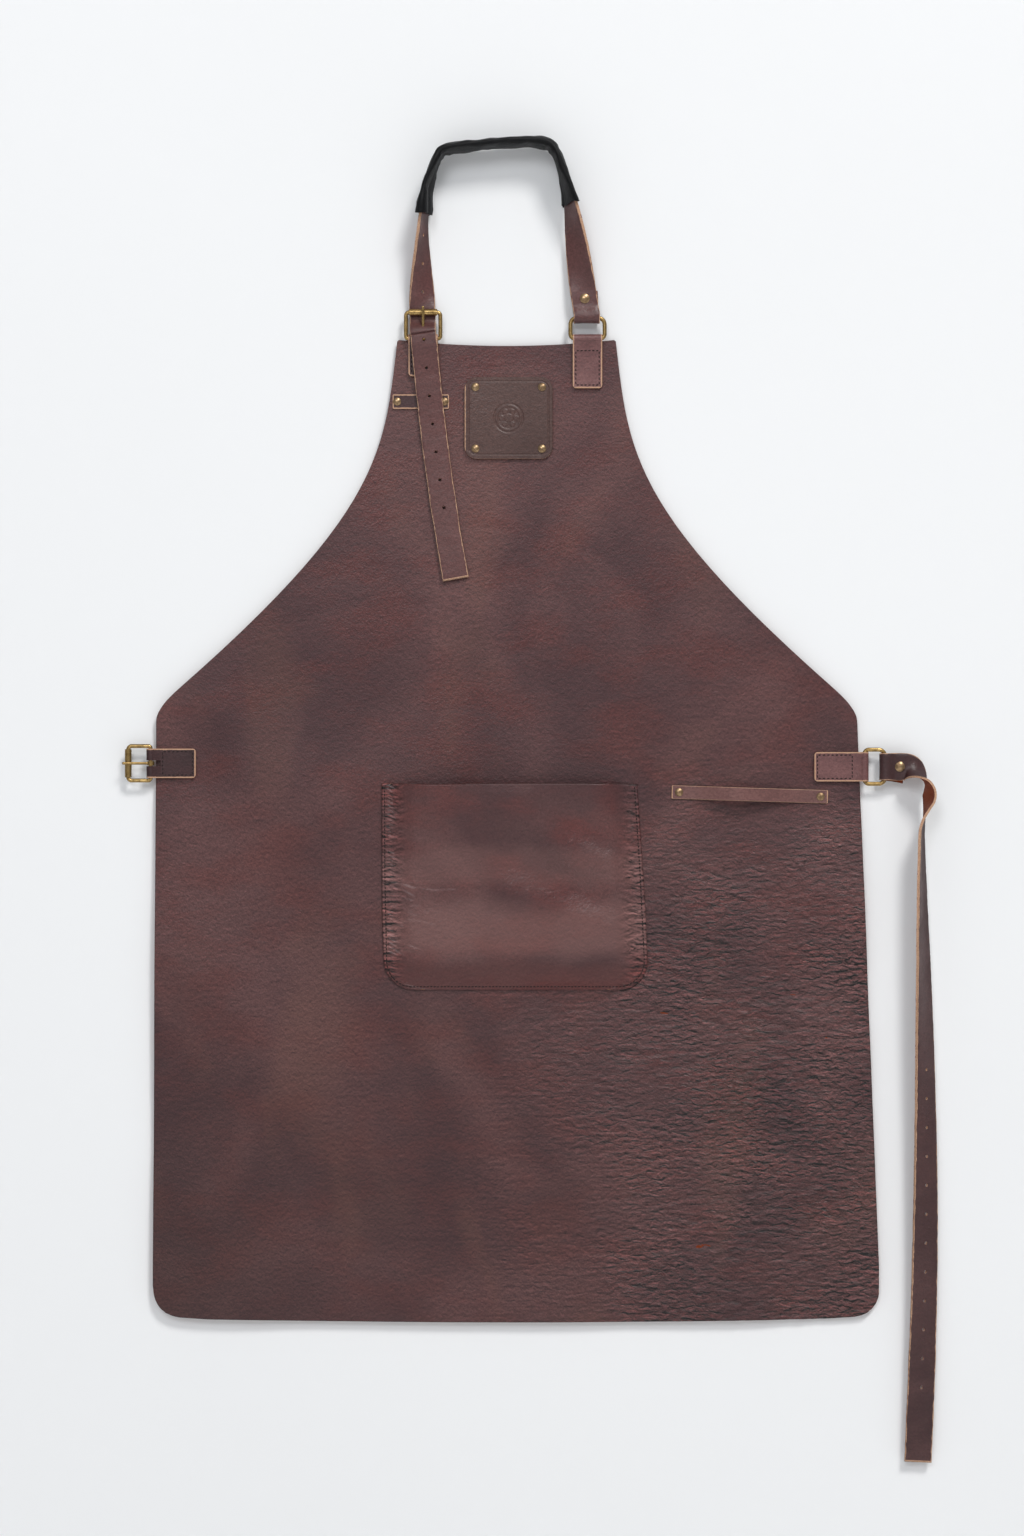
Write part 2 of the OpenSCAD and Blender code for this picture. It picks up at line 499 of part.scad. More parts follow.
module neck_buckle_tab() color(grain_dark) at_neck_buckle() tab(tab_len[0], true);
module neck_buckle_tab_stitching() color(thread) at_neck_buckle() tab_stitches(tab_len[0]);
module neck_ring_tab() color(grain) at_neck_ring() tab(tab_len[1], false);
module neck_ring_tab_stitching() color(thread) at_neck_ring() tab_stitches(tab_len[1]);
module waist_buckle_tab() color(grain_dark) at_waist_buckle() tab(tab_len[2], true);
module waist_buckle_tab_stitching() color(thread) at_waist_buckle() tab_stitches(tab_len[2]);
module waist_ring_tab() color(flesh) at_waist_ring() tab(tab_len[3], false);
module waist_ring_tab_stitching() color(thread) at_waist_ring() tab_stitches(tab_len[3]);

module neck_buckle_frame() color(metal) at_neck_buckle() wire_frame(half_bar, neck_buckle_l, frame_d, 2.2, 3);
module neck_buckle_roller() color(metal) at_neck_buckle() roller(neck_buckle_l);
module neck_buckle_prong() color(metal) at_neck_buckle() prong(neck_buckle_l);
module neck_ring() color(metal) at_neck_ring() wire_frame(half_ring, ring_l, ring_d, 4, ring_corner);

module neck_strap() color(grain) difference() {
    band([for (p = neck_path) [p[0], p[1], p[2]]], [for (p = neck_path) face(p[3])], neck_w, strap_t);
    for (a = [-6, -3, 0, 3, 6]) at_neck_buckle() rotate([a, 0, 0]) translate([0, -1.4, 2.2])
        rotate([prong_lean(neck_buckle_l), 0, 0]) cylinder(d = prong_d + 1.2, h = 16);
    for (z = [46.9, 70.9, 95]) punched(z);
    post(neck_rivet[0], neck_rivet[1], post_r + clear, 1, bar_y - 4);
}
module punched(z) translate([buckle_x - 0.9 - 0.02 * (z - 40), left_y(z), z]) rotate([0, 0, -left_turn(z)]) rotate([90, 0, 0])
    cylinder(d = hole_d, h = 8, center = true);

module neck_sleeve() color(black) {
    part = [for (p = neck_path) if ((p[0] < 0 && p[2] > 113) || (p[0] >= 0 && p[2] > 122)) p];
    tube([for (p = part) [p[0], p[1], p[2]]], [for (p = part) face(p[3])], sleeve_w, sleeve_t, neck_w + 3, 5.2);
}
module neck_strap_rivet() color(metal)
    rivet(neck_rivet[0], neck_rivet[1], bar_y - layer_gap - strap_t / 2, bar_y + layer_gap + strap_t / 2 + 0.7, cap_large);
module neck_strap_rivet_back() color(metal)
    rivet_back(neck_rivet[0], neck_rivet[1], bar_y + layer_gap + strap_t / 2, bar_y + layer_gap + strap_t / 2 + 0.7, cap_small);

module neck_strap_tail() color(grain) difference() {
    band(tail_path, [for (p = tail_path) [1, 0, 0]], neck_w, strap_t);
    for (z = tail_holes) post(tail_x(z), z, hole_d / 2, 2, -20);
}

module waist_buckle_frame() color(metal) at_waist_buckle() wire_frame(half_bar, waist_buckle_l, frame_d, 2.2, 3);
module waist_buckle_roller() color(metal) at_waist_buckle() roller(waist_buckle_l);
module waist_buckle_prong() color(metal) at_waist_buckle() prong(waist_buckle_l);
module waist_ring() color(metal) at_waist_ring() wire_frame(half_ring, ring_l, ring_d, 4, ring_corner);

module waist_strap() color(grain_dark) difference() {
    band(waist_path, waist_widths, waist_w, strap_t);
    for (i = [0:11]) let(z = first_hole - hole_pitch * i, t = (z - hang_top) / (strap_bottom - hang_top))
        translate([hang_x(t), hang_y(t), z]) rotate([0, 0, hang_turn(t)]) rotate([90, 0, 0])
            cylinder(d = hole_d, h = 8, center = true);
    post(waist_rivet[0], waist_rivet[1], post_r + clear, 1, bar_y - 4);
}
module waist_strap_rivet() color(metal)
    rivet(waist_rivet[0], waist_rivet[1], bar_y - layer_gap - strap_t / 2, bar_y + layer_gap + strap_t / 2 + 0.7, cap_large);
module waist_strap_rivet_back() color(metal)
    rivet_back(waist_rivet[0], waist_rivet[1], bar_y + layer_gap + strap_t / 2, bar_y + layer_gap + strap_t / 2 + 0.7, cap_small);

apron_panel();
pocket_panel();
pocket_stitching();
label_patch();
label_rivets();
label_rivet_backs();
keeper_strap();
keeper_rivets();
keeper_rivet_backs();
tool_loop();
tool_loop_rivets();
tool_loop_rivet_backs();
neck_buckle_tab();
neck_buckle_tab_stitching();
neck_ring_tab();
neck_ring_tab_stitching();
waist_buckle_tab();
waist_buckle_tab_stitching();
waist_ring_tab();
waist_ring_tab_stitching();
neck_buckle_frame();
neck_buckle_roller();
neck_buckle_prong();
neck_ring();
neck_strap();
neck_sleeve();
neck_strap_rivet();
neck_strap_rivet_back();
neck_strap_tail();
waist_buckle_frame();
waist_buckle_roller();
waist_buckle_prong();
waist_ring();
waist_strap();
waist_strap_rivet();
waist_strap_rivet_back();
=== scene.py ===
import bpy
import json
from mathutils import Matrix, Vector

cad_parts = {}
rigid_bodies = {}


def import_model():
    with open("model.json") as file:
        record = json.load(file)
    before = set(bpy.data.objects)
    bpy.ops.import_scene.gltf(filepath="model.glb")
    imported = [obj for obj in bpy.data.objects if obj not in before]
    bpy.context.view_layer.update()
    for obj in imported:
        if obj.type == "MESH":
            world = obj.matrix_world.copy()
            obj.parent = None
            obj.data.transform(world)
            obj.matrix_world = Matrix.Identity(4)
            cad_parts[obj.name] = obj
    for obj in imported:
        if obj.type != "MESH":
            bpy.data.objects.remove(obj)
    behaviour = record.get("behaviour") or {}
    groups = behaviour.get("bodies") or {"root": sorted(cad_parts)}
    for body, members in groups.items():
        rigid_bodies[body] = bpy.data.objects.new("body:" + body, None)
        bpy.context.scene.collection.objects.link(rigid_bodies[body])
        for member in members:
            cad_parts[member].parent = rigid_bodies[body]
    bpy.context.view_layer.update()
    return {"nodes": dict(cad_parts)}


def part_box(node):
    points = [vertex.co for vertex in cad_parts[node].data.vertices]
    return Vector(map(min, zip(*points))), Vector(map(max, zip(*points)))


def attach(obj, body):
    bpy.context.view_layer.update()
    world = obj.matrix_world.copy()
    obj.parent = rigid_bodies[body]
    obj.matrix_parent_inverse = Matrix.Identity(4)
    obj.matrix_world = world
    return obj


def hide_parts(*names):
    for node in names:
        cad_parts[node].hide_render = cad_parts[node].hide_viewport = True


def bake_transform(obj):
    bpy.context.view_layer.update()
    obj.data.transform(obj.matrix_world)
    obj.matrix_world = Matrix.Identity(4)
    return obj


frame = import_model()

import json
import math

import bpy
import numpy as np
from mathutils import Vector

MM = 0.001


def box_mm(node):
    """A CAD piece's lowest and highest corner, in mm."""
    return tuple(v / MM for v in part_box(node))


# ---------------- maths
def ease(t):
    t = np.clip(t, 0.0, 1.0)
    return t * t * (3 - 2 * t)


def bez(a, b, c, d, t):
    """Cubic curve from a to d, pulled toward b and c."""
    return (1 - t) ** 3 * a + 3 * (1 - t) ** 2 * t * b + 3 * (1 - t) * t * t * c + t ** 3 * d


def lattice(ix, iy, seed):
    """A fixed pseudo-random number in -1..1 for each whole-number lattice point."""
    h = np.sin(ix * 127.1 + iy * 311.7 + seed * 74.7) * 43758.5453
    return 2 * (h - np.floor(h)) - 1


def noise2(x, y, seed=0):
    """Smooth noise in about -1..1."""
    ix, iy = np.floor(x), np.floor(y)
    fx, fy = ease(x - ix), ease(y - iy)
    a = lattice(ix, iy, seed) * (1 - fx) + lattice(ix + 1, iy, seed) * fx
    b = lattice(ix, iy + 1, seed) * (1 - fx) + lattice(ix + 1, iy + 1, seed) * fx
    return a * (1 - fy) + b * fy


def fractal(x, y, seed=0, octaves=3):
    """Noise summed over octaves, each half the size and half the height of the last."""
    total, amp = 0.0, 1.0
    for k in range(octaves):
        total = total + amp * noise2(x * 2 ** k + 17 * k, y * 2 ** k - 9 * k, seed + k)
        amp *= 0.5
    return total / 1.75


def to_box(x, z, lo, hi):
    """Distance in mm from (x, z) to a box's outline, 0 inside it."""
    dx = np.maximum(np.maximum(lo[0] / MM - x, x - hi[0] / MM), 0)
    dz = np.maximum(np.maximum(lo[2] / MM - z, z - hi[2] / MM), 0)
    return np.hypot(dx, dz)


# ---------------- materials
def hexc(r, g, b):
    """Linear colour from an sRGB triple in 0..255."""
    return tuple(((c / 255 + 0.055) / 1.055) ** 2.4 if c > 10 else c / 255 / 12.92 for c in (r, g, b))


class Nodes:
    """A material under construction. Each method adds nodes and returns an output socket."""

    def __init__(self, name):
        self.m = bpy.data.materials.new(name)
        self.m.use_nodes = True
        self.t = self.m.node_tree
        self.b = self.t.nodes["Principled BSDF"]
        self.coord = self.t.nodes.new("ShaderNodeTexCoord").outputs["Object"]

    def add(self, kind, **values):
        n = self.t.nodes.new(kind)
        for k, v in values.items():
            if hasattr(n, k):
                setattr(n, k, v)
            else:
                n.inputs[k.replace("_", " ")].default_value = v
        return n

    def link(self, a, b):
        self.t.links.new(a, b)

    def mapped(self, at, field, value):
        """The point at with its Scale or Location mapped."""
        mp = self.add("ShaderNodeMapping")
        mp.inputs[field].default_value = value
        self.link(at, mp.inputs["Vector"])
        return mp.outputs["Vector"]

    def axes(self, at):
        sep = self.add("ShaderNodeSeparateXYZ")
        self.link(at, sep.inputs[0])
        return tuple(sep.outputs)

    def noise(self, scale, detail=4.0, rough=0.5, stretch=None, dist=0.0, at=None):
        n = self.add("ShaderNodeTexNoise", Scale=scale, Detail=detail, Roughness=rough, Distortion=dist)
        at = at or self.coord
        self.link(self.mapped(at, "Scale", stretch) if stretch else at, n.inputs["Vector"])
        return n.outputs["Fac"]

    def ramp(self, fac, stops):
        n = self.add("ShaderNodeValToRGB")
        while len(n.color_ramp.elements) < len(stops):
            n.color_ramp.elements.new(0.5)
        for e, (p, c) in zip(n.color_ramp.elements, stops):
            e.position = p
            e.color = tuple(c) + (1,)
        self.link(fac, n.inputs["Fac"])
        return n.outputs["Color"]

    def math(self, op, a, b=None):
        n = self.add("ShaderNodeMath", operation=op)
        for i, v in enumerate((a, b)):
            if v is None:
                continue
            if isinstance(v, (int, float)):
                n.inputs[i].default_value = float(v)
            else:
                self.link(v, n.inputs[i])
        return n.outputs[0]

    def mul(self, a, b):
        return self.math("MULTIPLY", a, b)

    def plus(self, a, b):
        return self.math("ADD", a, b)

    def minus(self, a, b):
        return self.math("SUBTRACT", a, b)

    def mix(self, fac, a, b, mode="MIX"):
        n = self.add("ShaderNodeMix", data_type="RGBA", blend_type=mode)
        for sock, v in ((n.inputs["Factor"], fac), (n.inputs[6], a), (n.inputs[7], b)):
            if isinstance(v, (int, float)):
                sock.default_value = v
            elif isinstance(v, tuple):
                sock.default_value = v + (1,)
            else:
                self.link(v, sock)
        return n.outputs[2]

    def times(self, col, value):
        """The colour col multiplied by a grey value."""
        grey = self.add("ShaderNodeCombineColor")
        for i in range(3):
            self.link(value, grey.inputs[i])
        return self.mix(1.0, col, grey.outputs[0], "MULTIPLY")

    def ramp_value(self, fac, lo, hi, a, b):
        """Smooth step from a to b while fac goes from lo to hi."""
        n = self.add("ShaderNodeMapRange", clamp=True)
        n.interpolation_type = "SMOOTHSTEP"
        for i, v in enumerate((fac, lo, hi, a, b)):
            if isinstance(v, (int, float)):
                n.inputs[i].default_value = v
            else:
                self.link(v, n.inputs[i])
        return n.outputs[0]

    def bump(self, height, strength, distance, normal=None):
        n = self.add("ShaderNodeBump")
        n.inputs["Distance"].default_value = distance
        for sock, v in ((n.inputs["Strength"], strength), (n.inputs["Height"], height)):
            if isinstance(v, (int, float)):
                sock.default_value = v
            else:
                self.link(v, sock)
        if normal is not None:
            self.link(normal, n.inputs["Normal"])
        return n.outputs["Normal"]


def painted_slope_shade(n, at, scale, step, detail=2.0):
    """Painted shade from one noise taken at two points a short step up the leather: painted light on upper edges,
    painted dark on lower ones, as if lit from above.
    """
    here, above = (n.noise(scale, detail, 0.55, dist=0.5, at=n.mapped(at, "Location", (0, 0, -up)))
                   for up in (0.0, step))
    return n.minus(here, above)


def wrinkled(n, col, normal, warp, dark):
    """The panel's wrinkles low on the right, with painted shade in their creases and painted light and shade on
    their edges; painted shade darker toward the hem and in the lower left corner; warm patches.
    """
    x, _, z = n.axes(n.coord)
    right = n.ramp_value(x, -0.08, 0.24, 0.1, 1.0)
    low = n.ramp_value(z, -0.3, -0.56, 0.06, 1.0)
    patchy = n.ramp_value(n.noise(11, 3, 0.6), 0.35, 0.6, 0.45, 1.0)
    where = n.mul(n.mul(right, low), patchy)
    long = n.mapped(warp, "Scale", (0.36, 1, 1))
    ridge = n.math("ABSOLUTE", n.minus(n.noise(300.0, 3.0, 0.6, dist=0.7, at=long), 0.5))
    # Painted shade along the crease lines
    painted_crease_shade = n.ramp_value(ridge, 0.0, 0.05, 1.0, 0.0)
    col = n.mix(n.mul(n.mul(painted_crease_shade, where), 0.4), col, tuple(c * 0.4 for c in dark))
    normal = n.bump(ridge, n.mul(where, 0.8), 0.004, normal)
    # Painted light on the wrinkles' upper edges, painted shade on their lower ones
    painted_ridge_shading = n.mul(painted_slope_shade(n, long, 300.0, 0.0013), where)
    col = n.times(col, n.plus(n.mul(painted_ridge_shading, 7.5), 1.0))
    # Painted shade: darker toward the hem, and more so in the lower left corner, away from the light at the upper
    # right
    painted_falloff_shade = n.ramp_value(z, -0.15, -0.86, 1.02, 0.8)
    corner = n.mul(n.ramp_value(z, -0.6, -0.86, 0.0, 1.0), n.ramp_value(x, -0.1, -0.33, 0.0, 0.3))
    col = n.times(col, n.minus(painted_falloff_shade, corner))
    warm = n.ramp_value(n.noise(7.5, 3, 0.5, stretch=(1.3, 1, 0.7), dist=0.5), 0.5, 0.72, 0.0, 0.22)
    return n.mix(warm, col, hexc(108, 72, 60)), normal


def painted_pocket_shading(n, col, warp, lo, hi):
    """A pocket's painted shading: painted shade along its lower seam, a painted highlight on the belly above,
    painted light and shade on the gathers along its sides.
    """
    x, _, z = n.axes(warp)
    up = n.plus(n.minus(z, lo.z), n.mul(n.minus(n.noise(14, 3), 0.5), 0.03))
    # Painted highlight on the pocket's belly, and a fainter one higher up
    painted_belly_highlight = n.mul(n.ramp_value(up, 0.024, 0.042, 0.0, 1.0), n.ramp_value(up, 0.06, 0.085, 1.0, 0.0))
    above = n.mul(n.ramp_value(up, 0.085, 0.1, 0.0, 1.0), n.ramp_value(up, 0.115, 0.13, 1.0, 0.0))
    pale = n.math("MAXIMUM", painted_belly_highlight, n.mul(above, 0.6))
    col = n.mix(n.mul(pale, 0.5), col, hexc(116, 82, 78))
    # Painted shade along the pocket's lower seam
    col = n.mix(n.ramp_value(up, 0.018, 0.03, 0.62, 0.0), col, hexc(74, 34, 32))
    # Painted light and shade on the gathers near the side seams
    inside = n.math("MINIMUM", n.minus(x, lo.x), n.minus(hi.x, x))
    lines = painted_slope_shade(n, n.mapped(warp, "Scale", (0.24, 1, 1)), 250.0, 0.0015)
    painted_gather_shading = n.mul(lines, n.ramp_value(inside, 0.008, 0.026, 1.0, 0.0))
    return n.times(col, n.plus(n.mul(painted_gather_shading, 6.0), 1.0))


def pale_rim(n, col, box, sides, width):
    """The cut border of a small piece: a pale line of this width, in metres, along some sides of its box."""
    lo, hi = box
    at = dict(zip("xyz", n.axes(n.coord)))
    near = 1.0
    for sign, axis in sides:
        k = "xyz".index(axis)
        near = n.math("MINIMUM", near, n.minus(hi[k], at[axis]) if sign == "+" else n.minus(at[axis], lo[k]))
    jitter = n.mul(n.minus(n.noise(260, 3, 0.7), 0.5), 0.0011)
    pale = n.ramp_value(n.plus(near, jitter), width * 0.75, width * 1.1, 1.0, 0.0)
    return n.mix(n.mul(pale, 0.9), col, hexc(186, 146, 118))


def leather(name, dark, light, rough, grain, red=None, reddening=0.7, shade=0.9, spec=0.42,
            zone=False, rim=None, pocket_shade_box=None):
    """Oiled leather: slow mottling between dark, light and red, fine speckle, a pebbled grain, and painted shade on
    the grain's small ridges.

    zone adds the panel's wrinkles with their painted shade, the pocket's box (when given) adds the pocket's painted
    shading, shade sets the strength of the painted shade on the small ridges, rim is (box, sides, width) of a pale
    border.
    """
    n = Nodes(name)
    slow = n.noise(6.5, 4, 0.5, dist=0.8)
    mid = n.noise(24, 5, 0.6, stretch=(0.55, 1, 1.15))
    fine = n.noise(520, 3, 0.6)
    col = n.ramp(slow, [(0.36, dark), (0.62, light)])
    col = n.mix(n.ramp_value(mid, 0.42, 0.68, 0.0, reddening), col, red or tuple(c * 1.15 for c in light))
    col = n.mix(n.ramp_value(fine, 0.42, 0.66, 0.0, 0.4), col, tuple(c * 0.7 for c in dark))
    # The point moved by a little noise, which keeps the pebbles from lying in even cells
    moved = n.add("ShaderNodeVectorMath", operation="MULTIPLY_ADD")
    push = n.add("ShaderNodeTexNoise", Scale=170.0, Detail=2.0)
    n.link(n.coord, push.inputs["Vector"])
    n.link(push.outputs["Color"], moved.inputs[0])
    moved.inputs[1].default_value = (0.0022, 0.0022, 0.0022)
    n.link(n.coord, moved.inputs[2])
    warp = moved.outputs[0]
    cells = n.add("ShaderNodeTexVoronoi", Scale=640.0, feature="SMOOTH_F1")
    cells.inputs["Smoothness"].default_value = 0.5
    n.link(warp, cells.inputs["Vector"])
    normal = n.bump(cells.outputs["Distance"], grain, 0.0007)
    if zone:
        col, normal = wrinkled(n, col, normal, warp, dark)
    # The pocket's painted shade and painted highlight
    if pocket_shade_box:
        col = painted_pocket_shading(n, col, warp, *pocket_shade_box)
    # Painted shade: light upper and dark lower edges on the grain's small ridges, scaled by shade
    if shade:
        col = n.times(col, n.plus(n.mul(painted_slope_shade(n, warp, 300.0, 0.001, 3.0), shade), 1.0))
    normal = n.bump(n.noise(110, 4, 0.6), 0.3, 0.0012, normal)
    if rim:
        col = pale_rim(n, col, *rim)
    n.link(col, n.b.inputs["Base Color"])
    n.link(normal, n.b.inputs["Normal"])
    n.link(n.ramp_value(mid, 0.35, 0.65, rough + 0.07, rough - 0.06), n.b.inputs["Roughness"])
    n.b.inputs["Specular IOR Level"].default_value = spec
    return n.m


def raw_edge(name, dark, light):
    """Cut edge: fibres in fine layers."""
    n = Nodes(name)
    f = n.noise(900, 4, 0.7)
    n.link(n.ramp(f, [(0.3, dark), (0.7, light)]), n.b.inputs["Base Color"])
    n.b.inputs["Roughness"].default_value = 0.85
    n.link(n.bump(f, 0.5, 0.0004), n.b.inputs["Normal"])
    return n.m


def suede(name, dark, light):
    """Flesh side: napped, matt."""
    n = Nodes(name)
    slow, fine = n.noise(30, 6, 0.6), n.noise(700, 5, 0.75)
    col = n.ramp(slow, [(0.3, dark), (0.7, light)])
    col = n.mix(n.ramp_value(fine, 0.35, 0.7, 0.0, 0.4), col, tuple(c * 1.15 for c in light))
    n.link(col, n.b.inputs["Base Color"])
    n.b.inputs["Roughness"].default_value = 0.9
    n.b.inputs["Sheen Weight"].default_value = 0.06
    n.b.inputs["Specular IOR Level"].default_value = 0.2
    n.link(n.bump(fine, 0.6, 0.0006), n.b.inputs["Normal"])
    return n.m


def metal(name, dark, light, rough):
    """Aged brass: blotched colour and polish, faint scratches."""
    n = Nodes(name)
    f = n.noise(240, 4, 0.65)
    n.link(n.ramp(f, [(0.32, dark), (0.68, light)]), n.b.inputs["Base Color"])
    n.b.inputs["Metallic"].default_value = 1.0
    n.link(n.ramp_value(f, 0.3, 0.7, rough + 0.12, rough - 0.06), n.b.inputs["Roughness"])
    n.link(n.bump(n.noise(900, 2, 0.6), 0.12, 0.0002), n.b.inputs["Normal"])
    return n.m


# The panel's leather, with painted shade in its wrinkles, on its small ridges and toward the hem
panel_mat = leather("panel_leather", hexc(66, 38, 40), hexc(91, 58, 57), 0.43, 0.3, hexc(96, 46, 41),
                    reddening=0.4, shade=1.9, zone=True)
# The pocket's leather, with painted shade along its seams and a painted highlight on its belly
pocket_mat = leather("pocket_leather", hexc(70, 42, 43), hexc(98, 66, 64), 0.36, 0.28, hexc(98, 52, 49),
                     pocket_shade_box=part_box("pocket_panel"))
strap_mat = leather("strap_leather", hexc(74, 44, 43), hexc(94, 60, 58), 0.42, 0.2)
dark_mat = leather("dark_leather", hexc(56, 32, 33), hexc(72, 46, 45), 0.42, 0.22)
sleeve_mat = leather("sleeve_leather", hexc(3, 3, 5), hexc(7, 7, 10), 0.5, 0.3, shade=0, spec=0.2)


def rimmed(node, dark, light, sides, width=0.0012):
    """Leather for one small piece, with a pale border along these sides of its box."""
    return leather(node + "_leather", dark, light, 0.42, 0.22, rim=(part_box(node), sides, width))


edge_mat = raw_edge("cut_edge", hexc(150, 112, 88), hexc(206, 168, 140))
edge_dark = raw_edge("cut_edge_dark", hexc(84, 54, 42), hexc(140, 98, 74))
flesh_mat = suede("flesh_side", hexc(92, 34, 14), hexc(130, 60, 28))
lining_mat = suede("sleeve_inside", hexc(12, 12, 14), hexc(24, 24, 27))
thread_mat = raw_edge("waxed_thread", hexc(16, 8, 8), hexc(44, 26, 22))
brass_mat = metal("antique_brass", hexc(120, 96, 58), hexc(190, 160, 106), 0.3)
rivet_mat = metal("rivet_brass", hexc(112, 90, 68), hexc(178, 150, 116), 0.36)


# ---------------- meshes
def make(name, verts, faces, mats, index=None):
    """A mesh object from points in mm."""
    me = bpy.data.meshes.new(name)
    me.from_pydata([tuple(v) for v in np.asarray(verts) * MM], [], faces)
    for m in mats:
        me.materials.append(m)
    if index is not None:
        me.polygons.foreach_set("material_index", np.asarray(index, np.int32))
    me.polygons.foreach_set("use_smooth", np.full(len(me.polygons), True))
    me.validate()
    me.update()
    o = bpy.data.objects.new(name, me)
    bpy.context.scene.collection.objects.link(o)
    return o


def sheet(name, front, normal, t, mats, bulge=0.32, lip=False, back=None):
    """Closed leather sheet from a grid of front points; mats are front, edge, back.

    lip gives the outermost front cells the edge material. back is the back surface's own points, and is then
    used at every second row and column, so that a finely wrinkled front doesn't double its face count.
    """
    coarse = back is not None
    back = front - normal * t if back is None else back
    nr, nc = front.shape[:2]
    n = nr * nc
    gid = np.arange(n).reshape(nr, nc)
    f = np.stack([gid[:-1, :-1], gid[1:, :-1], gid[1:, 1:], gid[:-1, 1:]], -1)
    mark = np.zeros((nr - 1, nc - 1))
    if lip:
        mark[0], mark[-1], mark[:, 0], mark[:, -1] = 1, 1, 1, 1
    f = f.reshape(-1, 4)
    hop = 2 if coarse else 1
    bgrid = back[::hop, ::hop]
    br, bc = bgrid.shape[:2]
    bid = n + np.arange(br * bc).reshape(br, bc)
    bf = np.stack([bid[:-1, :-1], bid[:-1, 1:], bid[1:, 1:], bid[1:, :-1]], -1).reshape(-1, 4)

    def around(g):
        return np.concatenate([g[0, :-1], g[:-1, -1], g[-1, :0:-1], g[:0:-1, 0]])

    loop, bloop = around(gid), around(bid)
    fp = front.reshape(-1, 3)
    bp = np.stack([around(back[..., k]) for k in range(3)], 1)
    along = np.roll(fp[loop], -1, 0) - np.roll(fp[loop], 1, 0)
    out = np.cross(along, normal.reshape(-1, 3)[loop])
    out /= np.maximum(np.linalg.norm(out, axis=1, keepdims=True), 1e-9)
    verts = [fp, bgrid.reshape(-1, 3)]
    faces = f.tolist() + bf.tolist()
    index = list(mark.reshape(-1)) + [2] * len(bf)
    base = n + br * bc
    rings = [loop]
    for depth, push in ((0.12, 0.2), (0.5, bulge), (0.88, 0.2)):
        verts.append(fp[loop] * (1 - depth) + bp * depth + out * push * min(t, 2.0))
        rings.append(base + np.arange(len(loop)))
        base += len(loop)
    edge = [np.stack([a, np.roll(a, -1), np.roll(b, -1), b], -1) for a, b in zip(rings[:-1], rings[1:])]
    edge = np.concatenate(edge).tolist()
    last = rings[-1]
    if coarse:
        for i in range(len(bloop)):
            p, q, r = last[2 * i], last[2 * i + 1], last[(2 * i + 2) % len(last)]
            c, d = bloop[i], bloop[(i + 1) % len(bloop)]
            edge += [[p, q, c], [q, r, d], [q, d, c]]
    else:
        edge += np.stack([last, np.roll(last, -1), np.roll(bloop, -1), bloop], -1).tolist()
    return make(name, np.concatenate(verts), faces + edge, mats, index + [1] * len(edge))


def frames(path, widths):
    """Tangent, width and normal directions along a path, from rough width directions."""
    d = np.gradient(path, axis=0)
    tan = d / np.linalg.norm(d, axis=1, keepdims=True)
    s = widths - (widths * tan).sum(1, keepdims=True) * tan
    s /= np.linalg.norm(s, axis=1, keepdims=True)
    return tan, s, np.cross(tan, s)


def resample(path, extra, step):
    """Even spacing along a polyline; extra values are carried along."""
    seg = np.linalg.norm(np.diff(path, axis=0), axis=1)
    d = np.concatenate([[0], np.cumsum(seg)])
    n = max(8, int(d[-1] / step))
    at = np.linspace(0, d[-1], n + 1)
    return (np.stack([np.interp(at, d, path[:, k]) for k in range(3)], 1),
            np.stack([np.interp(at, d, extra[:, k]) for k in range(extra.shape[1])], 1), at)


def outward(front):
    """Normals that face the viewer, for a grid of points."""
    n = np.zeros_like(front)
    n[..., 1] = -1
    return n


def stands_for(o, node, body):
    """Shows o in place of a CAD node, moving with a body."""
    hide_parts(node)
    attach(o, body)


def smooth_rows(a, times):
    """Rows averaged with their neighbours, the two ends kept."""
    for _ in range(times):
        b = a.copy()
        b[1:-1] = (a[:-2] + 2 * a[1:-1] + a[2:]) / 4
        a = b
    return a


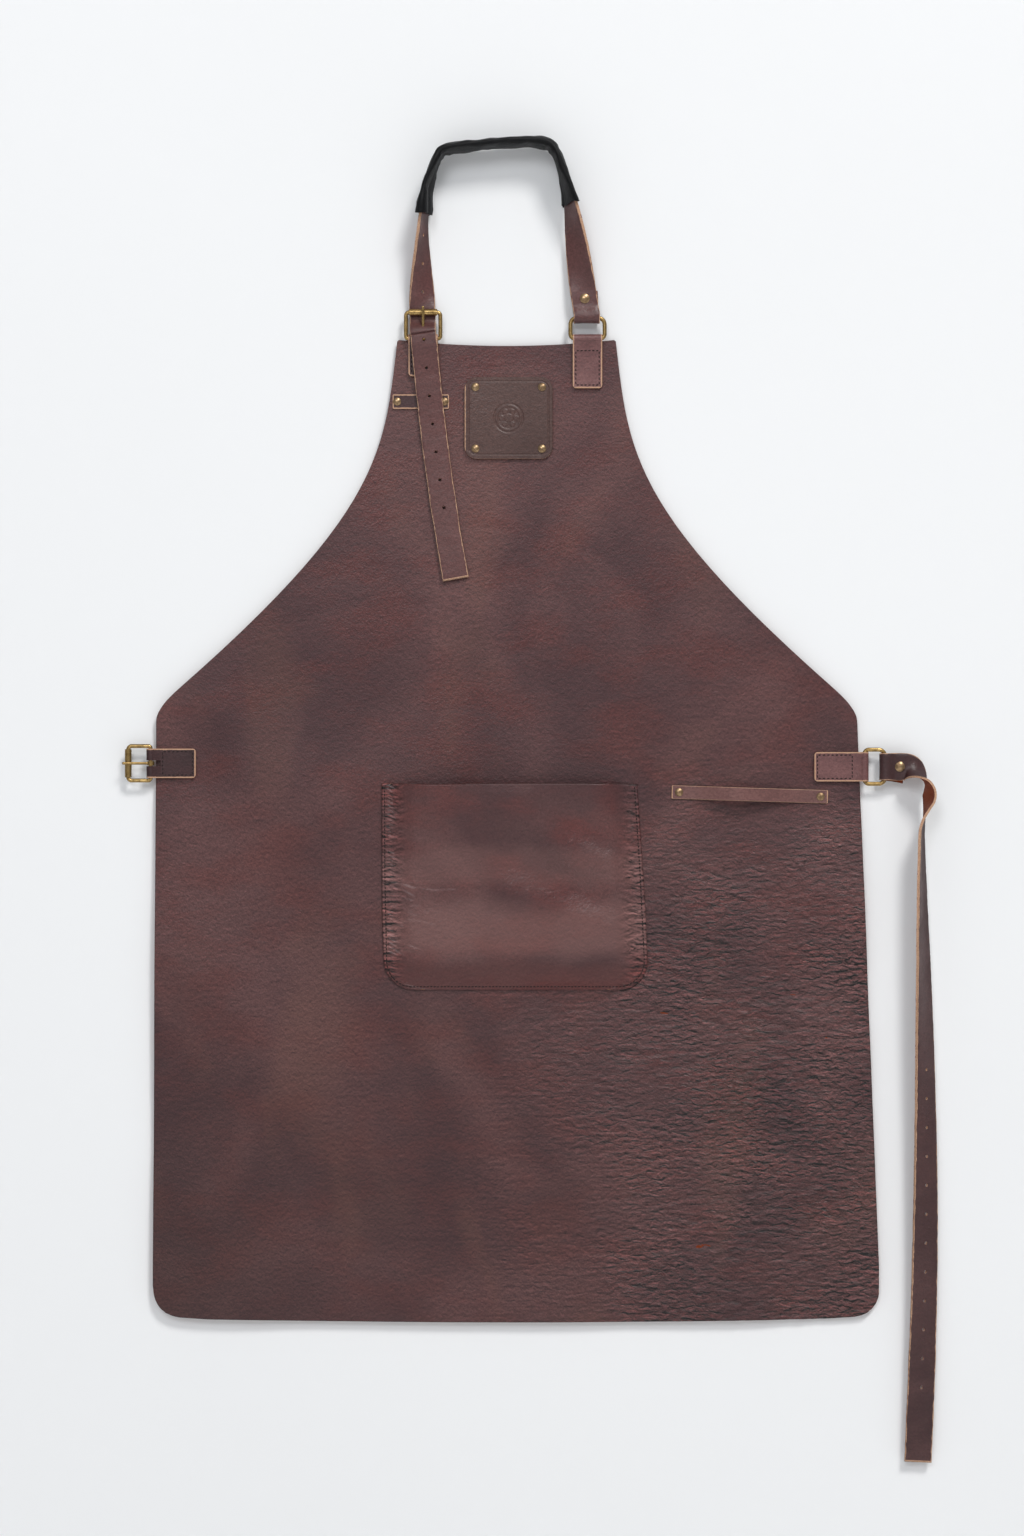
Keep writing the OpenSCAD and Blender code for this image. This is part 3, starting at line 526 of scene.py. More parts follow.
def strap(name, path, widths, w, t, mats, grain, seed):
    """Leather strip along a path. grain +1 puts the grain side along tangent x width, -1 on the other side."""
    cols, lip = 10, 0.7
    tan, s, m = frames(path, widths)
    g = m * grain
    run = np.concatenate([[0], np.cumsum(np.linalg.norm(np.diff(path, axis=0), axis=1))])
    wob = 0.2 * noise2(run / 23, run * 0 + 1.5, seed) + 0.12 * noise2(run / 5, run * 0, seed + 4)
    cup = 0.3 * noise2(run / 60, run * 0 + 3, seed + 7)
    ends = ease(run / 1.2) * ease((run[-1] - run) / 1.2)
    rows = []
    for k in range(cols + 3):
        side = -1 if k <= cols // 2 else 1
        nick = lip * (0.75 + 0.6 * noise2(run / 2.6, run * 0, seed + side)) + 0.1
        if k == 0 or k == cols + 2:
            v = np.full(len(run), w / 2 * side)
        elif k == 1 or k == cols + 1:
            v = side * (w / 2 - nick)
        else:
            v = np.full(len(run), (w / 2 - 1.6) * (2 * (k - 1) / cols - 1))
        uu = v / (w / 2)
        off = cup * (uu * uu - 0.4) + 0.12 * noise2(run / 5, uu * 2.2, seed + 9)
        off = off + 0.07 * noise2(run / 1.9, uu * 1.3, seed + 13)
        drop = 0.28 if k in (0, cols + 2) else 0.0
        sideways = v + wob * np.abs(uu) * side
        outward = t / 2 + off * (1 - drop) - 0.08 - drop - 0.2 * (1 - ends)
        rows.append(path + s * sideways[:, None] + g * outward[:, None])
    front = np.stack(rows, 1)
    nrm = np.repeat(g[:, None, :], front.shape[1], 1)
    if grain < 0:
        front, nrm = front[:, ::-1], nrm[:, ::-1]
    return sheet(name, front, nrm, t - 0.1, mats, lip=True)


def drill(o, holes, r, depth, mat):
    """Cuts round holes: each is a centre and an axis, in mm."""
    cut = []
    for c, a in holes:
        bpy.ops.mesh.primitive_cylinder_add(vertices=20, radius=r * MM, depth=depth * MM, location=Vector(c) * MM)
        k = bpy.context.object
        k.rotation_mode = "QUATERNION"
        k.rotation_quaternion = Vector(a).to_track_quat("Z", "Y")
        k.data.materials.append(mat)
        cut.append(k)
    bpy.context.view_layer.update()
    for k in cut:
        mod = o.modifiers.new("hole", "BOOLEAN")
        mod.object, mod.operation, mod.solver, mod.material_mode = k, "DIFFERENCE", "EXACT", "TRANSFER"
    bake(o)
    for k in cut:
        bpy.data.objects.remove(k)


def bake(o):
    """Keeps the modifiers' result as the mesh."""
    dg = bpy.context.evaluated_depsgraph_get()
    dg.update()
    me = bpy.data.meshes.new_from_object(o.evaluated_get(dg))
    o.modifiers.clear()
    o.data = me


def cad(node):
    """The CAD solid of a node."""
    return next(o for o in bpy.context.scene.objects if o.type == "MESH" and o.name.split(".")[0] == node)


def dress(node, grain, across, bevel=0.35, name=None):
    """A leather piece that keeps its CAD shape, with worn corners.

    Faces looking along an axis in across (0 is x, 2 is z) are cut edges.
    """
    src = cad(node)
    o = bpy.data.objects.new(name or node.replace("_tab", "_folded_tab") + "_leather", src.data.copy())
    bpy.context.scene.collection.objects.link(o)
    o.matrix_world = src.matrix_world
    weld = o.modifiers.new("weld", "WELD")
    weld.merge_threshold = 2e-6
    bake(o)
    bv = o.modifiers.new("bevel", "BEVEL")
    bv.width, bv.segments, bv.limit_method, bv.angle_limit = bevel * MM, 3, "ANGLE", math.radians(32)
    bake(o)
    me = o.data
    me.materials.clear()
    me.materials.append(grain)
    me.materials.append(edge_mat)
    for p in me.polygons:
        p.material_index = int(any(abs(p.normal[a]) > 0.45 for a in across))
        p.use_smooth = True
    wn = o.modifiers.new("normals", "WEIGHTED_NORMAL")
    wn.keep_sharp = True
    bake(o)
    stands_for(o, node, "apron")


# ---------------- the panel's surface
T = 1.6
TOOL_END = 0.014
HARD = ("neck_buckle_tab", "neck_ring_tab", "waist_buckle_tab", "waist_ring_tab", "keeper_strap", "label_patch")
tool_lo, tool_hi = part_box("tool_loop")
# Boxes in metres where a piece is held flat on the panel
hard_boxes = [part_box(n) for n in HARD]
for x0 in (tool_lo.x, tool_hi.x - TOOL_END):
    hard_boxes.append((Vector((x0, 0, tool_lo.z)), Vector((x0 + TOOL_END, 0, tool_hi.z))))
pk_lo, pk_hi = box_mm("pocket_panel")
pn_lo, pn_hi = box_mm("apron_panel")


def lift(x, z):
    """How far the panel's leather stands off the wall, in mm, at (x, z) in mm."""
    flat = np.ones_like(x)
    for lo, hi in hard_boxes:
        flat = np.minimum(flat, ease(to_box(x, z, lo, hi) / 45))
    body = ease((-z - 120) / 260)
    slow = 1.9 + 2.1 * fractal(x / 190, z / 150, 11, 2)
    wave = 1.3 * np.sin(x / 62 + 1.4 * noise2(x / 160, z / 300, 5)) * ease((-z - 480) / 330)
    drift = 1.5 * noise2(x / 150, z / 110, 6)
    roll = 1.2 * np.sin((z + 0.25 * x) / 38 + drift) * (0.35 + 0.65 * ease((-z - 250) / 200))
    right = ease((x - 190) / 110) * ease((-z - 400) / 60) * ease((z + 740) / 90)
    ripple = right * 1.9 * (0.5 + 0.5 * np.sin(z / 17 + 1.1 * noise2(x / 40, z / 60, 8)))
    hem = 1.3 * ease((-z - 770) / 70) * (0.6 + noise2(x / 70, z / 90, 21))
    out = (slow + wave + roll + hem) * (0.25 + 0.75 * body) + ripple
    return np.maximum(out * flat, 0.0)


def relief(x, z):
    """Wrinkles of the panel's grain side, in mm: fine all over, and a network of creases low on the right."""
    flat = np.ones_like(x)
    for lo, hi in hard_boxes:
        flat = np.minimum(flat, ease(to_box(x, z, lo, hi) / 6))
    zone = ease((x + 20) / 190) * ease((-z - 405) / 110)
    zone = (0.1 + 0.9 * zone) * (0.5 + 0.5 * ease((noise2(x / 80, z / 60, 55) + 0.7) / 1.1))
    wx = x + 8 * noise2(x / 30, z / 22, 31)
    wz = z + 3.4 * noise2(x / 26, z / 15, 32) - 0.05 * x
    net = 0.75 * (np.abs(noise2(wx / 13, wz / 4.3, 41)) ** 0.8 - 0.5)
    net = net + 0.45 * (np.abs(noise2((wx + 0.9 * wz) / 9, (wz - 0.2 * wx) / 5.4, 42)) - 0.3)
    long = 0.0
    for k, (px, pz, tilt, amp) in enumerate(((70, 15, 0.12, 0.55), (48, 11, -0.22, 0.4), (95, 30, 0.05, 0.5))):
        r = noise2((wx + tilt * z) / px, (wz - tilt * x) / pz, 60 + k)
        long = long - amp * np.exp(-(r / 0.1) ** 2)
    return ((net + 1.1 * long) * zone + 0.05 * noise2(x / 4, z / 4, 90)) * flat * ease((-z + 4) / 30)


panel_cad = cad("apron_panel")
outline = np.array([panel_cad.matrix_world @ v.co for v in panel_cad.data.vertices]) / MM
ends = np.array([e.vertices[:] for e in panel_cad.data.edges])
ea, eb = outline[ends[:, 0]], outline[ends[:, 1]]


def reach(level, axis):
    """Lowest and highest crossing of the panel's outline with a line at that level of z (axis 2) or x (axis 0)."""
    da, db = ea[:, axis] - level, eb[:, axis] - level
    k = (da * db <= 0) & (np.abs(da - db) > 1e-6)
    other = 2 - axis
    c = ea[k, other] + (eb[k, other] - ea[k, other]) * (da[k] / (da[k] - db[k]))
    return c.min(), c.max()


def spaced(stops):
    """Positions with a chosen spacing over each stretch: stops are (from, step) pairs, the last one closing."""
    out = []
    for (p0, step), (p1, _) in zip(stops[:-1], stops[1:]):
        k = max(1, int(round(abs(p1 - p0) / (step * 1))))
        out += list(np.linspace(p0, p1, k + 1)[:-1])
    return out + [stops[-1][0]]


# Rows above top_end bend with the neckline, rows below low_start with the hem; odd counts suit the coarse back
rise, top_end, low_start, wide = pn_hi.z, -60.0, -800.0, pn_hi.x - pn_lo.x
u = np.array(spaced([(0, 0.7), (12, 3.0), (wide - 12, 0.7), (wide, 0)])) / wide
if len(u) % 2 == 0:
    u = np.insert(u, len(u) // 2, u[len(u) // 2 - 1:len(u) // 2 + 1].mean())
rows = []
for s in spaced([(0, 0.012), (0.06, 0.045), (1, 0)])[:-1]:
    level = (rise - 0.05) * (1 - s) + top_end * s
    x0, x1 = reach(level, 2)
    x = x0 + (x1 - x0) * u
    rows.append((x, rise * (x / 95) ** 2 * (1 - s) + top_end * s))
for z in spaced([(top_end, 3.4), (-425, 1.25), (low_start, 0)]):
    x0, x1 = reach(z, 2)
    x = x0 + (x1 - x0) * u
    rows.append((x, np.full_like(x, z)))
low = np.array([reach(min(max(v, x[0] + 0.02), x[-1] - 0.02), 0)[0] for v in x])
down = spaced([(0, 0.025), (0.9, 0.012), (1, 0)])[1:]
if (len(rows) + len(down)) % 2 == 0:
    down = down[1:]
for s in down:
    rows.append((x, low_start * (1 - s) + low * s))
X = np.array([r[0] for r in rows])
Z = np.array([r[1] for r in rows])
D = lift(X, Z)
front = np.stack([X, -(T + D + relief(X, Z)), Z], -1)
# The rivet backs lie flush with the CAD's back, so this back is a little further in and shows them
BACK_IN = 0.3
panel = sheet("panel_leather_sheet", front, outward(front), T, [panel_mat, edge_mat, flesh_mat],
              back=np.stack([X, -D - BACK_IN, Z], -1))
stands_for(panel, "apron_panel", "apron")

# ---------------- pocket
GAPE = 11.0
CORNER = 25.0


def pocket_mid(z):
    """The pocket's middle, which leans a little to the right on its way down."""
    return 2.6 + 6.1 * (pk_hi.z - z) / (pk_hi.z - pk_lo.z)


def pocket_half(z):
    """Half the pocket's width: a little wider below its mouth, with round corners at the bottom."""
    t = (pk_hi.z - z) / (pk_hi.z - pk_lo.z)
    w = (222.4 + 7.0 * np.minimum(1, 1.6 * t)) / 2
    d = np.maximum(0, pk_lo.z + CORNER - z)
    return w - (CORNER - np.sqrt(np.maximum(0, CORNER ** 2 - d * d)))


def pocket_out(uu, z):
    """How far the pocket's back face stands off the panel's front: a pillow sewn on three sides, open at the top."""
    half = pocket_half(z)
    inside = (1 - np.abs(uu)) * half
    x = uu * half
    up, down = z - pk_lo.z, pk_hi.z - z
    sides = ease((inside - 5) / 38)
    pillow = 5.9 * ease((up - 5) / 30) * ease((inside - 5) / 24) * (1 - 0.25 * ease((up - 60) / 80))
    mouth = (GAPE - 4.2) * ease((up - 70) / 105) * sides
    q = down - 0.62 * (x + 10) + 9 * noise2(x / 70, z / 60, 66)
    toward = ease((x + 35) / 90)
    fold = 2.4 * np.sin(q / 11) * toward * ease((inside - 7) / 26) * ease((down - 6) / 26) * ease((up - 46) / 40)
    swell = 1.7 * noise2(x / 48, z / 40, 67) * ease((inside - 10) / 40) * ease((up - 24) / 30)
    seam = ease((inside - 3.0) / 2.2)
    near = np.exp(-(np.maximum(inside - 6, 0) / 6.5) ** 2)
    slant = z - np.sign(uu) * 0.5 * inside
    gather = 0.55 + 0.45 * noise2(z / 7, np.sign(uu) * 5.0, 62)
    rib = np.sin(slant * 2 * math.pi / 3.6 + 2.2 * noise2(z / 9, np.sign(uu) * 3.0, 61)) * gather
    pucker = 1.0 * near * (rib + 0.3) * ease((inside - 3.2) / 3)
    left = ease((-x - 58) / 30) * ease((up - 14) / 14) * ease((118 - up) / 30)
    lines = np.abs(noise2((x + 0.5 * z) / 26, (z + 0.34 * x + 3 * noise2(x / 14, z / 9, 64)) / 5.2, 65))
    creases = -0.75 * np.exp(-(lines / 0.2) ** 2) * left * ease((inside - 6) / 8)
    arc = z - (pk_hi.z - 86) + 0.28 * (x + 96) - 0.0042 * (x + 96) ** 2
    one = -0.8 * np.exp(-(arc / 1.3) ** 2) * ease((x + 106) / 6) * ease((-42 - x) / 12)
    low = 0.45 * noise2((x + 0.6 * z) / 16, z / 5.0, 63) * np.exp(-((up - 13) / 8) ** 2) * ease((-x - 10) / 50)
    fine = 0.07 * noise2(x / 3.2, z / 3.2, 68)
    return np.maximum(pillow + mouth + fold + swell + pucker + (creases + one + low) * seam + fine, 0.0) * seam


step = 1.2
straight = np.linspace(pk_hi.z, pk_lo.z + CORNER, int(154 / step) + 1)
rounded = [pk_lo.z + CORNER * (1 - math.sin(a)) for a in np.linspace(0, math.pi / 2, int(36 / step) + 1)[1:]]
PZ, PU = np.meshgrid(np.concatenate([straight, rounded]), np.linspace(-1, 1, int(230 / step) + 1), indexing="ij")
PX = pocket_mid(PZ) + PU * pocket_half(PZ)
PZ = PZ + 0.6 * noise2(PX / 60, PX * 0, 70) * ease((PZ - pk_hi.z + 30) / 30)
pf = np.stack([PX, -(2 * T + lift(PX, PZ) + pocket_out(PU, PZ) - 0.05), PZ], -1)
pocket = sheet("pocket_leather_sheet", pf, outward(pf), T, [pocket_mat, edge_mat, flesh_mat])
# Only the mouth shows a pale cut edge; the sewn edges are dark
pocket.data.materials.append(edge_dark)
for f in pocket.data.polygons:
    if f.material_index == 1 and f.center.z / MM < pk_hi.z - 6:
        f.material_index = 3
stands_for(pocket, "pocket_panel", "apron")


# ---------------- stitching
def stitch_centres(node):
    """(centre x, centre z, half length, angle, seat y) in mm of every stitch in a CAD thread node."""
    src = cad(node)
    me = src.data
    co = np.array([src.matrix_world @ v.co for v in me.vertices]) / MM
    key = {}
    ids = np.array([key.setdefault(tuple(np.round(c, 3)), len(key)) for c in co])
    parent = list(range(len(key)))

    def find(a):
        while parent[a] != a:
            parent[a] = parent[parent[a]]
            a = parent[a]
        return a

    for e in me.edges:
        parent[find(ids[e.vertices[0]])] = find(ids[e.vertices[1]])
    groups = {}
    for c, i in zip(co, ids):
        groups.setdefault(find(i), []).append(c)
    out = []
    for pts in groups.values():
        p = np.unique(np.round(pts, 4), axis=0)
        c = p.mean(0)
        q = p[:, [0, 2]] - c[[0, 2]]
        _, ax = np.linalg.eigh(q.T @ q)
        a = ax[:, 1]
        out.append((c[0], c[2], np.abs(q @ a).max(), a, p[:, 1].min()))
    return out


# One stitch from end to end: place along it, thickness, depth below its seat
STITCH = ((-1.0, 0.25, 0.1), (-0.8, 0.8, 0.0), (-0.3, 1.05, -0.14), (0.3, 1.05, -0.14), (0.8, 0.8, 0.0),
          (1.0, 0.25, 0.1))
STITCH_R = 0.44


def stitch_mesh(name, node, surface):
    """Every stitch of a CAD thread node as a short round-ended thread, a little askew, on the surface given."""
    verts, faces = [], []
    k = 8
    for i, (x, z, half, a, seat) in enumerate(stitch_centres(node)):
        a = a + 0.12 * np.array([-a[1], a[0]]) * (1 + 0.5 * lattice(i, 3, 5))
        a = a / np.linalg.norm(a)
        b = np.array([-a[1], a[0]])
        y = surface(x, z, seat)
        base = len(verts)
        for s, rad, dy in STITCH:
            px, pz = x + a[0] * half * s, z + a[1] * half * s
            for j in range(k):
                t = 2 * math.pi * j / k
                w = b * math.cos(t) * STITCH_R * rad
                verts.append((px + w[0], y + dy - math.sin(t) * STITCH_R * rad, pz + w[1]))
        for s in range(len(STITCH) - 1):
            for j in range(k):
                p, q = base + s * k + j, base + s * k + (j + 1) % k
                faces.append([p, q, q + k, p + k])
        faces.append([base + j for j in range(k)][::-1])
        faces.append([base + (len(STITCH) - 1) * k + j for j in range(k)])
    stands_for(make(name, verts, faces, [thread_mat]), node, "apron")


def on_pocket(x, z, _):
    a, b = np.array([x]), np.array([z])
    uu = (a - pocket_mid(b)) / pocket_half(b)
    return float(-(2 * T + lift(a, b) + pocket_out(uu, b))[0]) - 0.02


def on_tab(_x, _z, seat):
    return seat + 0.4


stitch_mesh("pocket_thread", "pocket_stitching", on_pocket)
for tab in ("neck_buckle_tab", "neck_ring_tab", "waist_buckle_tab", "waist_ring_tab"):
    stitch_mesh(tab + "_thread", tab + "_stitching", on_tab)

# ---------------- tabs, keeper, tool loop
deep = (hexc(46, 24, 26), hexc(62, 36, 37))
warm = (hexc(96, 62, 62), hexc(118, 82, 80))
for tab, tones, sides, across in (("neck_buckle_tab", deep, ("-x", "+x", "-z"), 0),
                                  ("neck_ring_tab", warm, ("-x", "+x", "-z"), 0),
                                  ("waist_buckle_tab", deep, ("-z", "+z", "+x"), 2),
                                  ("waist_ring_tab", warm, ("-z", "+z", "-x"), 2)):
    dress(tab, rimmed(tab, *tones, sides), (across,))
keeper_mat = rimmed("keeper_strap", *deep, ("-x", "+x", "-z", "+z"), 0.0011)
dress("keeper_strap", keeper_mat, (0, 2), name="keeper_leather")
tool_mat = rimmed("tool_loop", hexc(92, 58, 56), hexc(114, 80, 76), ("-x", "+x"), 0.0011)
dress("tool_loop", tool_mat, (2,), bevel=0.6, name="tool_loop_leather_strip")

# ---------------- label
lb_lo, lb_hi = box_mm("label_patch")
lx, lz = (lb_lo.x + lb_hi.x) / 2, (lb_lo.z + lb_hi.z) / 2
lw, lh, lr = (lb_hi.x - lb_lo.x) / 2, (lb_hi.z - lb_lo.z) / 2, 10.5
lt = -lb_lo.y - T
ls = 0.5
corner_rows = [lh - lr * (1 - math.sin(a)) for a in np.linspace(math.pi / 2, 0, max(3, int(16 / ls)))]
side_rows = np.linspace(lh - lr, lr - lh, int(2 * (lh - lr) / ls) + 1)[1:-1]
lv = np.array(corner_rows + list(side_rows) + [-v for v in corner_rows[::-1]])
LZ, LU = np.meshgrid(lv, np.linspace(-1, 1, int(2 * lw / ls) + 1), indexing="ij")
dz = np.maximum(0, np.abs(LZ) - (lh - lr))
LX = LU * (lw - lr + np.sqrt(np.maximum(0, lr * lr - dz * dz)))


def groove(d, width):
    """1 in a groove of this width along d = 0, falling to 0 over its soft shoulders."""
    return 1 - ease((np.abs(d) - width / 2) / SOFT)


SOFT, INSET, INSET_R = 0.45, 3.6, 7
rad = np.hypot(LX, LZ)
inset_x, inset_z = lw - INSET - np.abs(LX), lh - INSET - np.abs(LZ)
corner = np.hypot(np.maximum(0, INSET_R - inset_x), np.maximum(0, INSET_R - inset_z))
border = np.where((inset_x < INSET_R) & (inset_z < INSET_R), INSET_R - corner, np.minimum(inset_x, inset_z))
sunk = 0.45 * groove(border, 0.7) + 0.5 * groove(rad - 12.4, 1.2)
# A plain pressed mark: a disc with a raised middle and six raised dots, inside a ring
rosette = 1 - ease((rad - 9.4) / SOFT)
rosette = rosette * ease((rad - 3.4) / SOFT)
for k in range(6):
    px, pz = 6.4 * math.cos(k * math.pi / 3), 6.4 * math.sin(k * math.pi / 3)
    rosette = rosette * ease((np.hypot(LX - px, LZ - pz) - 1.9) / SOFT)
sunk = sunk + 0.5 * rosette
pad = 0.35 * ease((rad - 44) / -30)
dish = 0
for sx in (-1, 1):
    for sz in (-1, 1):
        dish = dish + 0.25 * np.exp(-(((LX - 29 * sx) ** 2 + (LZ - 26.8 * sz) ** 2) / 36))
height = lt + pad - sunk - dish + 0.08 * fractal(LX / 9, LZ / 9, 80)
lf = np.stack([lx + LX * (1 - 0.004), -(T + height), lz + LZ], -1)
label_mat = rimmed("label_patch", hexc(62, 40, 36), hexc(80, 56, 51), ("-x",), 0.0011)
label = sheet("label_leather_patch", lf, outward(lf) * (height[..., None] / lt), lt - 0.02,
              [label_mat, edge_mat, flesh_mat], bulge=0.5)
stands_for(label, "label_patch", "apron")

# ---------------- neck strap, tail and sleeve
bf_lo, bf_hi = box_mm("neck_buckle_frame")
rg_lo, rg_hi = box_mm("neck_ring")
BUCKLE_X, RING_X = (bf_lo.x + bf_hi.x) / 2, (rg_lo.x + rg_hi.x) / 2
BAR_Y = (bf_lo.y + bf_hi.y) / 2
BAR_Z = bf_lo.z + 1.75
RING_TOP = rg_hi.z - 1.8
ST, NW, WW = 2.2, 22.5, 23.5
HOLE_R = 1.3
LOOP_H = 175.0


def left_turn(z):
    """The strap's turn about its run, in degrees, on the buckle's side: 0 faces the viewer."""
    t = np.clip((z - 33) / 107, 0, 1)
    return -78 * (1 - (1 - t) ** 2.4) - 12 * ease((z - 135) / 25)


def right_turn(z):
    return 90 * np.clip((z - 48) / 105, 0, 1) ** 0.9 - 180


def left_y(z):
    return BAR_Y + 4.1 - 13 * ease((z - 34) / 90)


def right_y(z):
    return BAR_Y - 1.15 - 7.9 * ease((z - 48.5) / 78)


def points(*where):
    return [np.array(v, float) for v in where]


def curve(a, b, c, d, n, y, turn):
    """Points (x, y, z, turn) along a curve drawn in the XZ plane."""
    p = bez(*points(a, b, c, d), np.linspace(0, 1, n + 1)[:, None])
    z = p[:, 1]
    yy = y(z) if callable(y) else np.full_like(z, y)
    tt = turn(z) if callable(turn) else np.full_like(z, turn)
    return np.stack([p[:, 0], yy, z, tt], 1)


def tail_x(down):
    """The tail's middle this far below z = 5: it hangs with a slight curve."""
    return -71.8 + 0.085 * down + 0.00023 * down * down


# The tail, from its tip up to the buckle, then on through the buckle and round the neck to the ring
CUT_Y = BAR_Y - 5.1
BEND_Z = BAR_Z + 3
tz = np.linspace(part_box("neck_strap_tail")[0].z / MM + 0.6, BEND_Z, 90)
ts = 5 - tz
ty = CUT_Y + 3.9 * ease((ts - 3) / 32) + 1.9 * ease((ts - 30) / 50) - 1.2 * ease((ts - 120) / 90)
tail = np.stack([tail_x(ts), ty, tz, 0 * tz], 1)
th = bez(*points([CUT_Y, BEND_Z + 2.5], [CUT_Y, BEND_Z + 6.5], [left_y(0), 18], [left_y(0), 27.0]),
         np.linspace(0, 1, 13)[1:, None])
through = np.stack([np.full(len(th), BUCKLE_X - 0.4), th[:, 0], th[:, 1], np.zeros(len(th))], 1)
riser_l = curve([BUCKLE_X - 0.9, 27], [BUCKLE_X - 1, 70], [BUCKLE_X - 3, 128], [-61, 160], 40, left_y, left_turn)[1:]
over = np.concatenate([
    curve([-61, 160], [-58, 167.5], [-54, 169], [-46, LOOP_H - 5], 12, left_y(200), -90)[1:],
    curve([-46, LOOP_H - 5], [-20, LOOP_H - 2], [5, LOOP_H + 2], [30, LOOP_H], 20, left_y(200), -90)[1:],
    curve([30, LOOP_H], [37.5, LOOP_H - 0.8], [41, LOOP_H - 4], [44, 164], 12, left_y(200), -90)[1:]])
riser_r = curve([44, 164], [54, 138], [57.5, 112], [RING_X - 3.9, 47], 40, right_y, right_turn)[1:]
LOOP_R, GAP = 4.3, 1.15
down = bez(*points([BAR_Y - GAP, 34.8], [BAR_Y - GAP, 31.5], [BAR_Y - LOOP_R, 29.5], [BAR_Y - LOOP_R, RING_TOP]),
           np.linspace(0, 1, 9)[:, None])
ang = np.linspace(0, math.pi, 25)[1:-1]
under = np.stack([BAR_Y - LOOP_R * np.cos(ang), RING_TOP - LOOP_R * np.sin(ang)], 1)
up = np.stack([2 * BAR_Y - down[::-1, 0], down[::-1, 1]], 1)
yz = np.concatenate([down, under, up, [[BAR_Y + GAP, 43], [BAR_Y + GAP, 47.5]]])
rx = RING_X - 2.4 + 1.9 * np.exp(-((yz[:, 1] - RING_TOP) / 9) ** 2)
ring_turn = np.stack([rx, yz[:, 0], yz[:, 1], np.full(len(yz), -180.0)], 1)
loop = np.concatenate([through, riser_l, over, riser_r, ring_turn])


def face(a):
    """The strap's width direction at a turn of a degrees."""
    a = np.radians(a)
    return np.stack([np.cos(a), -np.sin(a), 0 * a], 1)


def laid(pts, step):
    """The path, its turn and its length so far, evenly spaced."""
    p, e, at = resample(pts[:, :3], pts[:, 3:4], step)
    return smooth_rows(p, 2), e[:, 0], at


sp = 1.6
whole, turn, at = laid(np.concatenate([tail, loop]), sp)
cut = int(np.argmin(np.abs(whole[:len(whole) // 2, 2] - (BEND_Z + 1.3))))
strap_mats = [strap_mat, edge_mat, flesh_mat]
tail_o = strap("neck_tail_leather", whole[:cut + 1], face(turn[:cut + 1]), NW, ST, strap_mats, -1, 5)
loop_o = strap("neck_strap_leather", whole[cut:], face(turn[cut:]), NW, ST, strap_mats, -1, 6)
hole_z = [4.5 - 24.3 * k for k in range(7)]
drill(tail_o, [((tail_x(5 - z), -8, z), (0, 1, 0)) for z in hole_z], HOLE_R, 26, edge_mat)
riser_holes = []
for z in (46.9, 70.9, 95):
    a = math.radians(left_turn(z))
    riser_holes.append(((BUCKLE_X - 0.9 - 0.02 * (z - 40), float(left_y(z)), z), (math.sin(a), math.cos(a), 0)))
drill(loop_o, riser_holes, HOLE_R, 9, edge_mat)
# The two pieces meet inside the buckle: the cut ends there take the grain's look, so that no pale line shows
for o in (tail_o, loop_o):
    for f in o.data.polygons:
        c = f.center / MM
        if abs(c.z - whole[cut, 2]) < 3.4 and abs(c.x - whole[cut, 0]) < NW / 2 - 0.9 and c.y < CUT_Y + 4:
            f.material_index = 0
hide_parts("neck_strap_tail")
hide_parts("neck_strap")


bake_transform(tail_o)
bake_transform(loop_o)

# Sleeve: a soft flattened tube over the top of the neck strap
lp, lturn, lat = laid(loop, 1.3)
first = next(i for i in range(len(lp)) if lp[i, 2] > 113 and lp[i, 0] < 0)
last = max(i for i in range(len(lp)) if lp[i, 2] > 122 and lp[i, 0] > 0)
sl, sturn, sat = lp[first:last + 1], lturn[first:last + 1], lat[first:last + 1]
tan, sdir, mdir = frames(sl, face(sturn))
K = 64
ang = np.linspace(0, 2 * math.pi, K, endpoint=False)
at = sat - sat[0]
length = at[-1]
left_end, right_end = ease((46 - at) / 40), ease((at - length + 34) / 30)
bent = smooth_rows(np.linalg.norm(np.gradient(tan, axis=0), axis=1)[:, None], 10)[:, 0]
bent = bent / bent.max()
ca, sa = np.cos(ang)[None, :], np.sin(ang)[None, :]
AT, AA = at[:, None], ang[None, :] + 0 * at[:, None]
half_w = (15.2 + 1.2 * left_end + 0.3 * right_end)[:, None] * (1 + 0.03 * noise2(AT / 24, 0 * AT, 95))
flare = 2.6 * ease((24 - at) / 22)
half_t = (4.0 - 1.1 * left_end - 0.9 * right_end + flare + 0.5 * noise2(at / 20, 0 * at, 96))[:, None]
left_end, right_end, bent = left_end[:, None], right_end[:, None], bent[:, None]
across = np.sign(ca) * np.abs(ca) ** 0.8
fold = 0.9 * noise2(AT / 11, AA * 1.1, 91) + 0.5 * noise2(AT / 4.2, AA * 1.7, 92) * (0.35 + 2.0 * bent)
gathers = np.sin(AT / 1.9 + 1.5 * noise2(AT / 7, AA, 93))
fold = fold + 0.8 * gathers * bent ** 2 * (np.cos(AA - math.pi / 2) < 0)
crimp = -1.5 * np.exp(-((across + 0.35) / 0.16) ** 2) * left_end
crimp = crimp + 0.5 * np.exp(-((across - 0.3) / 0.5) ** 2) * left_end
crimp = crimp - 0.9 * np.exp(-((across - 0.4) / 0.14) ** 2) * right_end
thick = half_t * np.abs(sa) ** 0.75 + (fold + crimp) * np.abs(sa)
thick = np.maximum(thick, 1.9 * np.abs(sa) ** 0.75) * np.sign(sa)
wave = 0.7 * noise2(AT / 9, np.sign(ca) * 2.0 + 0 * AT, 97) * np.abs(ca)
